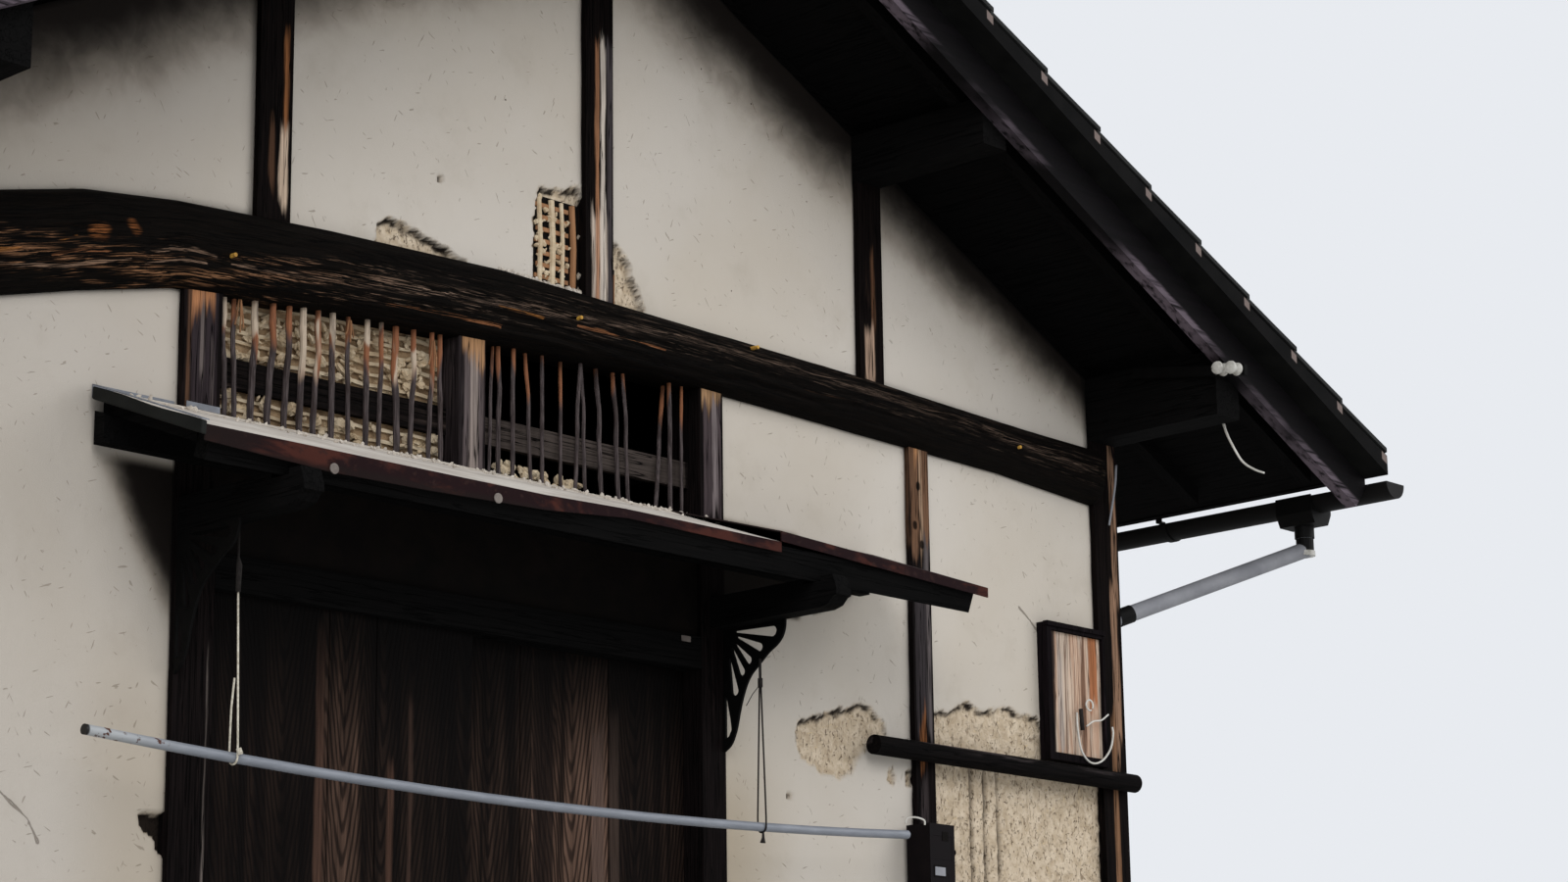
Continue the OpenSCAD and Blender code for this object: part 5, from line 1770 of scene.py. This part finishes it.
@dataclass
class Slings:
    """The two slings of the drying pole: a pale one from the arm, a dark one beside the fan."""

    left: Point = (-1.36, -0.1759, 1.5503)
    right: Point = (0.4755, -0.1451, 1.5431)
    radius: float = 0.0025

    def build(self) -> list[Piece]:
        """Builds both slings in place of the frame's own."""
        pale = Shape("pale_sling")
        x, y, z = self.left[0], FRONT + self.left[1], self.left[2]
        self.loop(pale, (x, y, z), 1.95, 1.74)
        pale.tube([(x - 0.001, y - 0.003, 1.945), (x + 0.001, y - 0.003, 2.01), (x, y, 2.03),
                   (x, y, 2.1095)], [0.006, 0.007, 0.003, 0.003], 8, 1)
        pale.tube([(x, y - 0.019, z + 0.02), (x + 0.004, y - 0.022, z + 0.006)], 0.0065, 8)
        dark = Shape("dark_sling")
        x, y, z = self.right[0], FRONT + self.right[1], self.right[2]
        self.loop(dark, (x, y, z), 1.945, 1.935)
        dark.tube([(x, y, 1.93), (x, y, 1.955)], 0.007, 8)
        dark.tube([(x, y, 1.95), (x, y, 2.0095)], 0.004, 8)
        dark.tube([(x + 0.002, y, 1.94), (x + 0.001, y + 0.03, 1.915),
                   (x + 0.001, y + 0.055, 1.885)], 0.0012, 5)
        dark.tube([(x, y - 0.004, z - 0.016), (x + 0.001, y - 0.003, z - 0.03),
                   (x, y - 0.002, z - 0.044)], [0.003, 0.004, 0.008], 8)
        return [pale.fit("cord", CORD, DARK_CORD, soft=True, stands_for=["pole_slings"]),
                dark.fit("cord", DARK_CORD, soft=True, stands_for=["pole_slings"])]

    def loop(self, shape: Shape, foot: Point, outer_top: float, inner_top: float) -> None:
        """Adds a cord that passes under the pole and rises on both sides of it."""
        x, y, z = foot
        far = 0.0125 + self.radius + 0.0006
        path = [(x, y - 0.002, outer_top), (x, y - far * 0.8, z + 0.12), (x, y - far, z + 0.03)]
        path += [(x, y - far * math.cos(turn), z - far * math.sin(turn))
                 for turn in np.linspace(0, math.pi, 9)]
        path += [(x, y + far, z + 0.03), (x, y + far * 0.8, z + 0.12), (x, y + 0.003, inner_top)]
        shape.tube(path, self.radius, 8)


def curve(points: Sequence[Point], steps: int = 6) -> list[Point]:
    """Draws a smooth line through points.

    Args:
        points: the places that it passes.
        steps: how many places are put in for each of them.

    Returns:
        The places along the line.
    """
    line = [np.array(point, float) for point in points]
    line = [2 * line[0] - line[1], *line, 2 * line[-1] - line[-2]]
    path = []
    for a, b, c, d in zip(line, line[1:], line[2:], line[3:]):
        for t in np.linspace(0, 1, steps, endpoint=False):
            path.append(tuple(0.5 * (2 * b + (c - a) * t + (2 * a - 5 * b + 4 * c - d) * t ** 2
                                     + (3 * b - a - 3 * c + d) * t ** 3)))
    return [*path, tuple(line[-2])]


@dataclass
class MeterBoard:
    """The bare board in its dark frame with loose wires, and what the switch box carries."""

    cap: float = 0.013
    ring: tuple[float, float] = (2.11, 2.073)
    loop: Line = (
        (2.046, 2.043), (2.048, 1.988), (2.064, 1.924), (2.107, 1.891), (2.163, 1.9),
        (2.211, 1.942), (2.229, 1.991), (2.226, 2.016))
    curl: Line = (
        (2.094, 2.005), (2.13, 2.024), (2.171, 2.032), (2.208, 2.054))
    coil: Line = (
        (2.072, 2.058), (2.078, 1.991))
    hook: Line = (
        (1.147, 1.615), (1.156, 1.63), (1.191, 1.636), (1.23, 1.631), (1.234, 1.617))

    def build(self) -> list[Piece]:
        """Builds the board's panel, cap and wires, and the trims of the switch box."""
        low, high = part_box("meter_board")
        panel = Shape("bare_panel")
        panel.box((low[0] + 0.040, low[1] + 0.0125, low[2] + 0.0245),
                  (high[0] - 0.0125, low[1] + 0.0135, high[2] - 0.0245))
        cap = Shape("meter_board_cap")
        cap.box((low[0] - 0.003, low[1] - 0.006, high[2] - self.cap),
                (high[0] - 0.0005, low[1] + 0.012, high[2] + 0.002))
        wires = Shape("meter_wires")
        y = FRONT - 0.03
        for path, radius in ((self.loop, 0.0034), (self.curl, 0.0028)):
            wires.tube(curve([(x, y, z) for x, z in path]), radius, 7)
        x, z = self.ring
        wires.tube([(x + 0.017 * math.cos(turn), y - 0.002, z + 0.017 * math.sin(turn))
                    for turn in np.linspace(-0.6, 5.2, 16)], 0.003, 7)
        wires.tube([(x, y + 0.004, z) for x, z in self.coil], 0.007, 7, 1)
        return [panel.fit("bare_board", BARE_BOARD),
                cap.fit("bare_board", PURPLE_FRAME, bevel=0.001),
                wires.fit("bare_board", WHITE_CASE, DARK_CORD, soft=True),
                self.switch_trims()]

    def switch_trims(self) -> Piece:
        """Builds the plates, the light window, the hook and the knob of the switch box."""
        low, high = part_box("switch_box")
        left, face, top = low[0], low[1], high[2]
        trims = Shape("switch_box_trims")
        for near, far, start, end, under, over, mark in (
                (0.0135, 0.0975, 0.0004, 0.0029, -0.1045, -0.0355, 0),
                (0.0315, 0.0805, 0.0004, 0.0058, -0.1945, -0.1455, 0),
                (0.055, 0.083, -0.0008, -0.0002, -0.049, -0.022, 1),
                (0.014, 0.070, -0.0008, -0.0002, -0.157, -0.122, 1),
                (0.019, 0.065, -0.002, -0.0009, -0.152, -0.127, 2)):
            trims.box((left + near, face + start, top + under),
                      (left + far, face + end, top + over), mark)
        trims.tube(curve([(x, FRONT - 0.085, z) for x, z in self.hook]), 0.0028, 7, 3)
        y, z = face + 0.03, top - 0.075
        trims.tube([(high[0] - 0.002, y, z), (high[0] + 0.026, y, z)], 0.003, 7, 1)
        trims.tube([(high[0] + x, y, z) for x in (0.02, 0.03, 0.038)], [0.005, 0.01, 0.004], 10, 1)
        return trims.fit("switch_case", CASE, SOOTED_SHADED_PLASTER, GREY_PIPE, WHITE_CASE)


@dataclass
class Cables:
    """Stiff cables under the eave and down the corner, and the trims of the pipe."""

    side: float = 2.335
    soffit: Line = (
        (-0.383, 3.081), (-0.407, 3.038), (-0.424, 2.996), (-0.443, 2.928),
        (-0.467, 2.876), (-0.501, 2.819), (-0.544, 2.786), (-0.581, 2.768))
    upper: Line = (
        (2.375, 3.11), (2.313, 3.052), (2.31, 2.939), (2.33, 2.891))
    lower: Line = (
        (2.33, 2.891), (2.318, 2.814), (2.28, 2.683))

    def build(self) -> list[Piece]:
        """Builds the cables, the collar and the ring."""
        cable = Shape("soffit_cable")
        path = curve([(self.side, FRONT + y, z) for y, z in self.soffit])
        cable.tube(path, list(np.linspace(0.0055, 0.003, len(path))), 8)
        corner = Shape("corner_cable")
        corner.tube(curve([(x, FRONT - 0.008, z) for x, z in self.upper]), 0.0035, 8)
        corner.tube(curve([(x, FRONT - 0.008, z) for x, z in self.lower]), 0.0036, 8, 1)
        trims = Shape("pipe_trims")
        low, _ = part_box("rain_hoppers")
        top = Vector((3.03, FRONT - 0.256, low[2] - 0.038))
        foot = Vector((2.368, FRONT + 0.0605, 2.39))
        way = (top - foot).normalized()
        trims.tube([(top.x, top.y, low[2] - 0.002), (top.x, top.y, low[2] - 0.044)], 0.0296, 20, 1)
        trims.tube([(top.x, top.y, low[2] - 0.044), (top.x, top.y, low[2] - 0.06)], 0.0335, 20)
        trims.tube([foot + way * 0.02, foot + way * 0.075], 0.0296, 20, 1)
        return [cable.fit("grey_pipe", WHITE_CASE, soft=True),
                corner.fit("grey_pipe", PURPLE_FRAME, GREY_PIPE, soft=True),
                trims.fit("grey_pipe", PORCELAIN, HOPPER)]


@dataclass
class WallBits:
    """Small things on the gable: sticks in the lath hole, pegs in the log, crumbs on it."""

    peg_places: Line = ((-1.309, 2.815), (-0.134, 2.889), (0.566, 2.94), (1.759, 2.846))

    def build(self, tree: Grower) -> list[Piece]:
        """Builds sticks, pegs, crumbs, mud and the small plate on the door's head."""
        rng = np.random.default_rng(9)
        return [self.sticks(), self.pegs(), self.crumbs(tree, rng), self.mud(tree, rng),
                self.plate()]

    @staticmethod
    def sticks() -> Piece:
        """Builds the lath and the uprights that show in the hole beside the middle strut."""
        sticks = Shape("lath_hole_sticks")
        sticks.box((-0.222, FRONT + 0.030, 2.99), (-0.0532, FRONT + 0.031, 3.243), 2)
        for x, mark, wide in ((-0.206, 1, 0.007), (-0.16, 1, 0.009), (-0.122, 1, 0.006),
                              (-0.082, 0, 0.009)):
            sticks.tube([(x, FRONT + 0.024, 2.985), (x + 0.003, FRONT + 0.023, 3.11),
                         (x - 0.002, FRONT + 0.025, 3.236)], wide, 8, mark)
        for i in range(7):
            z = 3.012 + i * 0.034
            sticks.box((-0.222 + 0.006 * (i % 3), FRONT + 0.025, z - 0.006),
                       (-0.096, FRONT + 0.0296, z + 0.006))
        sticks.box((0.0532, FRONT + 0.030, 2.95), (0.086, FRONT + 0.031, 3.09), 2)
        sticks.tube([(0.07, FRONT + 0.024, 2.95), (0.072, FRONT + 0.024, 3.07)], 0.007, 8)
        return sticks.fit("mud", STICKS, LATH, SOOTED_SHADED_PLASTER)

    def pegs(self) -> Piece:
        """Builds the pegs that stand out of the log."""
        pegs = Shape("log_pegs")
        for x, z in self.peg_places:
            pegs.tube([(x, FRONT - 0.030, z), (x, FRONT - 0.069, z - 0.001)], [0.0065, 0.0055], 8)
        return pegs.fit("log", PEG_WOOD)

    @staticmethod
    def crumbs(tree: Grower, rng: np.random.Generator) -> Piece:
        """Builds the crumbs that lie on the log under the hole."""
        crumbs = Copies("crumbs_on_log")
        for _ in range(60):
            x, size = rng.uniform(-0.36, -0.07), rng.uniform(0.008, 0.02)
            crumbs.add((x, FRONT + 0.006 + rng.uniform(0, 0.008),
                        float(log_edges(x)[1]) + size * 0.2),
                       rng.uniform(0, 3, 3), (size * 1.4, size * 0.8, size * 0.8))
        return settle(crumbs.grow(tree, lump_item(), DEBRIS))

    @staticmethod
    def mud(tree: Grower, rng: np.random.Generator) -> Piece:
        """Builds the mud that still sticks to the lath in the hole."""
        knobs = Copies("mud_in_lath_hole")
        for _ in range(64):
            size = rng.uniform(0.009, 0.022)
            knobs.add((rng.uniform(-0.218, -0.09), FRONT + 0.026, rng.uniform(3.0, 3.24)),
                      rng.uniform(0, 3, 3), (size, size * 0.6, size))
        return settle(knobs.grow(tree, lump_item(), LATH))

    @staticmethod
    def plate() -> Piece:
        """Builds the small plate on the door's head."""
        plate = Shape("door_head_plate")
        plate.box((0.312, FRONT - 0.003, 2.06), (0.348, FRONT - 0.0004, 2.076))
        return plate.fit("switch_case", CLIP, bevel=0.001)


@dataclass
class Studio:
    """Pale floor, soft lamps, plain world and the camera at the photograph's place."""

    eye: Point = (-6.134, -9.144, 0.40)
    lens: float = 76.1

    def build(self) -> None:
        """Sets the stage."""
        scene = bpy.context.scene
        scene.view_settings.view_transform = "Standard"
        self.floor()
        self.world()
        self.lamp("key_lamp", (-7.0, -11.0, 9.0), (0.0, -1.0, 2.0), 9.0, 1050)
        self.lamp("fill_lamp", (8.0, -10.0, 6.0), (0.5, -1.0, 2.0), 8.0, 420)
        right = Vector((0.6813, -0.7319, -0.0141)).normalized()
        forward = Vector((0.7131, 0.65906, 0.23882)).normalized()
        up = right.cross(forward).normalized()
        right = forward.cross(up).normalized()
        turn = Matrix((right, up, -forward)).transposed().to_4x4()
        data = bpy.data.cameras.new("photograph_view")
        data.lens = self.lens
        data.sensor_width = 36
        data.clip_end = 200
        camera = put("photograph_view", data)
        camera.matrix_world = Matrix.Translation(self.eye) @ turn
        scene.camera = camera

    @staticmethod
    def floor() -> None:
        """Lays the pale floor."""
        graph = Graph("pale_floor")
        shade = graph.noise(graph.place(), 0.6, 3)
        material = graph.close(graph.mix(shade, (226, 226, 224), (234, 234, 232)), 0.9)
        mesh = bpy.data.meshes.new("studio_floor")
        corners = [(-40, -40, 0), (40, -40, 0), (40, 40, 0), (-40, 40, 0)]
        mesh.from_pydata(corners, [], [(0, 1, 2, 3)])
        mesh.materials.append(material)
        put("studio_floor", mesh)

    @staticmethod
    def world() -> None:
        """Lights the world softly and shows it pale to the camera and in gloss."""
        world = bpy.data.worlds.new("studio_air")
        bpy.context.scene.world = world
        graph = Graph(world.name, world)
        seen = graph.node("ShaderNodeLightPath", output="Is Camera Ray")
        for ray in ("Is Glossy Ray", "Is Transmission Ray"):
            seen = seen.most(graph.node("ShaderNodeLightPath", output=ray))
        plain = graph.node("ShaderNodeBackground", {}, {"Color": (0.93, 0.96, 1.0, 1),
                                                        "Strength": 0.5})
        shown = graph.node("ShaderNodeBackground", {}, {"Color": (*srgb(232, 235, 240), 1)})
        graph.finish(graph.node("ShaderNodeMixShader", {}, {0: seen, 1: plain, 2: shown}),
                     "ShaderNodeOutputWorld")

    @staticmethod
    def lamp(name: str, place: Point, aim: Point, size: float, power: float) -> None:
        """Hangs one large soft lamp that faces a point."""
        data = bpy.data.lights.new(name, "AREA")
        data.shape = "SQUARE"
        data.size = size
        data.energy = power
        turn = (Vector(aim) - Vector(place)).to_track_quat("-Z", "Y").to_matrix().to_4x4()
        put(name, data).matrix_world = Matrix.Translation(place) @ turn


@dataclass
class Framework:
    """Finishes for the frame's own solids that stay as they are."""

    left_leaf: tuple[float, float] = (-1.2875, -0.4325)
    right_leaf: tuple[float, float] = (-0.4665, 0.3885)
    lip_y: float = FRONT - AWNING_REACH
    face: float = -FRONT + 0.63
    barge_foot: float = 4.215

    def build(self) -> None:
        """Dresses every solid that no piece stands for."""
        edge = TileEdge("tile_ends", self.face, ROOF_REACH / COURSES, TILE_BED_RIDGE)
        barge = BargeBoard("barge_board", self.barge_foot)
        finishes = (
            (STONE, "footing_stones"), (EARTH, "earth_floor"), (CORNER, "corner_posts"),
            (DARK[Axis.X], "ground_sills rear_log_beam inner_log_beams door_sill"),
            (DARK[Axis.Z], "side_posts rear_posts"), (FRONT_POST, "front_posts"),
            (MULLION, "window_mullion"), (STRUT, "front_struts rear_struts inner_struts"),
            (SOOTED_SHADED_TIMBER[Axis.X], "rafters door_head window_sill awning_purlin awning_boards"),
            (SOOTED_SHADED_TIMBER[Axis.Y], "eave_plates purlins roof_boards eave_boards awning_arms "
                            "awning_rafters"),
            (edge, "left_roof_tiles right_roof_tiles"), (TILE, "ridge_tiles"),
            (barge, "front_barge_boards rear_barge_boards"),
            (SOOTED_SHADED_PLASTER, "front_wall_over_door"),
            (PLASTER, "left_wall right_wall rear_wall rear_gable_wall"),
            (MUD_FILL, "window_lath"), (WINDOW_BOARD, "window_rail"),
            (Sheet("maroon_sheet", self.lip_y, True), "awning_sheet"),
            (Sheet("maroon_end_sheet", self.lip_y, False), "awning_end_sheet"),
            (IRON, "iron_brackets verge_bar"), (POLE, "drying_pole"), (RAIL, "side_rail"),
            (PURPLE_FRAME, "meter_board"), (CASE, "switch_box"), (GUTTER, "gutters gutter_hooks"),
            (HOPPER, "rain_hoppers"), (GREY_PIPE, "downpipes"), (PORCELAIN, "verge_knobs"),
            (self.left_planks(), "door_left"), (self.right_planks(), "door_right"))
        for finish, nodes in finishes:
            for node in nodes.split():
                dress(node, finish)

    def left_planks(self) -> DoorPlank:
        """Gives the planks of the left leaf."""
        return DoorPlank("left_leaf_planks", *self.left_leaf, (-0.932, -0.797, -0.649, -0.484),
                         (0.07, 0.5, 0.13, 0.1, 0.08), (-1.05, -0.86, -0.73, -0.64, -0.45),
                         streaks((-0.935, 0.014, 0.2, 1.95, (84, 62, 52), 0.7),
                                 (-0.706, 0.010, 0.2, 1.6, (82, 60, 50), 0.7),
                                 (-0.640, 0.006, 0.2, 1.75, (76, 58, 50), 0.6)))

    def right_planks(self) -> DoorPlank:
        """Gives the planks of the right leaf."""
        return DoorPlank("right_leaf_planks", *self.right_leaf, (-0.184, 0.097),
                         (0.22, 0.72, 0.13), (-0.335, -0.035, 0.20),
                         streaks((-0.405, 0.012, 0.2, 1.9, (66, 50, 44), 0.7),
                                 (-0.141, 0.036, 0.2, 2.0, (26, 19, 17), 0.8),
                                 (0.122, 0.018, 0.2, 1.85, (66, 54, 48), 0.8),
                                 (0.060, 0.026, 0.2, 1.85, (96, 78, 70), 0.8)))


def main() -> None:
    """Builds every part of the scene in order and reports each piece."""
    logging.basicConfig(level=logging.INFO, format="%(name)s: %(message)s")
    Studio().build()
    Framework().build()
    copies = copies_tree()
    pieces = [LogBeam().build(), *FrontWalls().build(), *RoofTiles().build(tile_tree()),
              *Window().build(copies), *Awning().build(copies), *Slings().build(),
              *MeterBoard().build(), *Cables().build(), *WallBits().build(copies)]
    for piece in pieces:
        LOG.info("%s: %d faces", piece.name, len(piece.data.polygons))


if __name__ == "__main__":
    main()
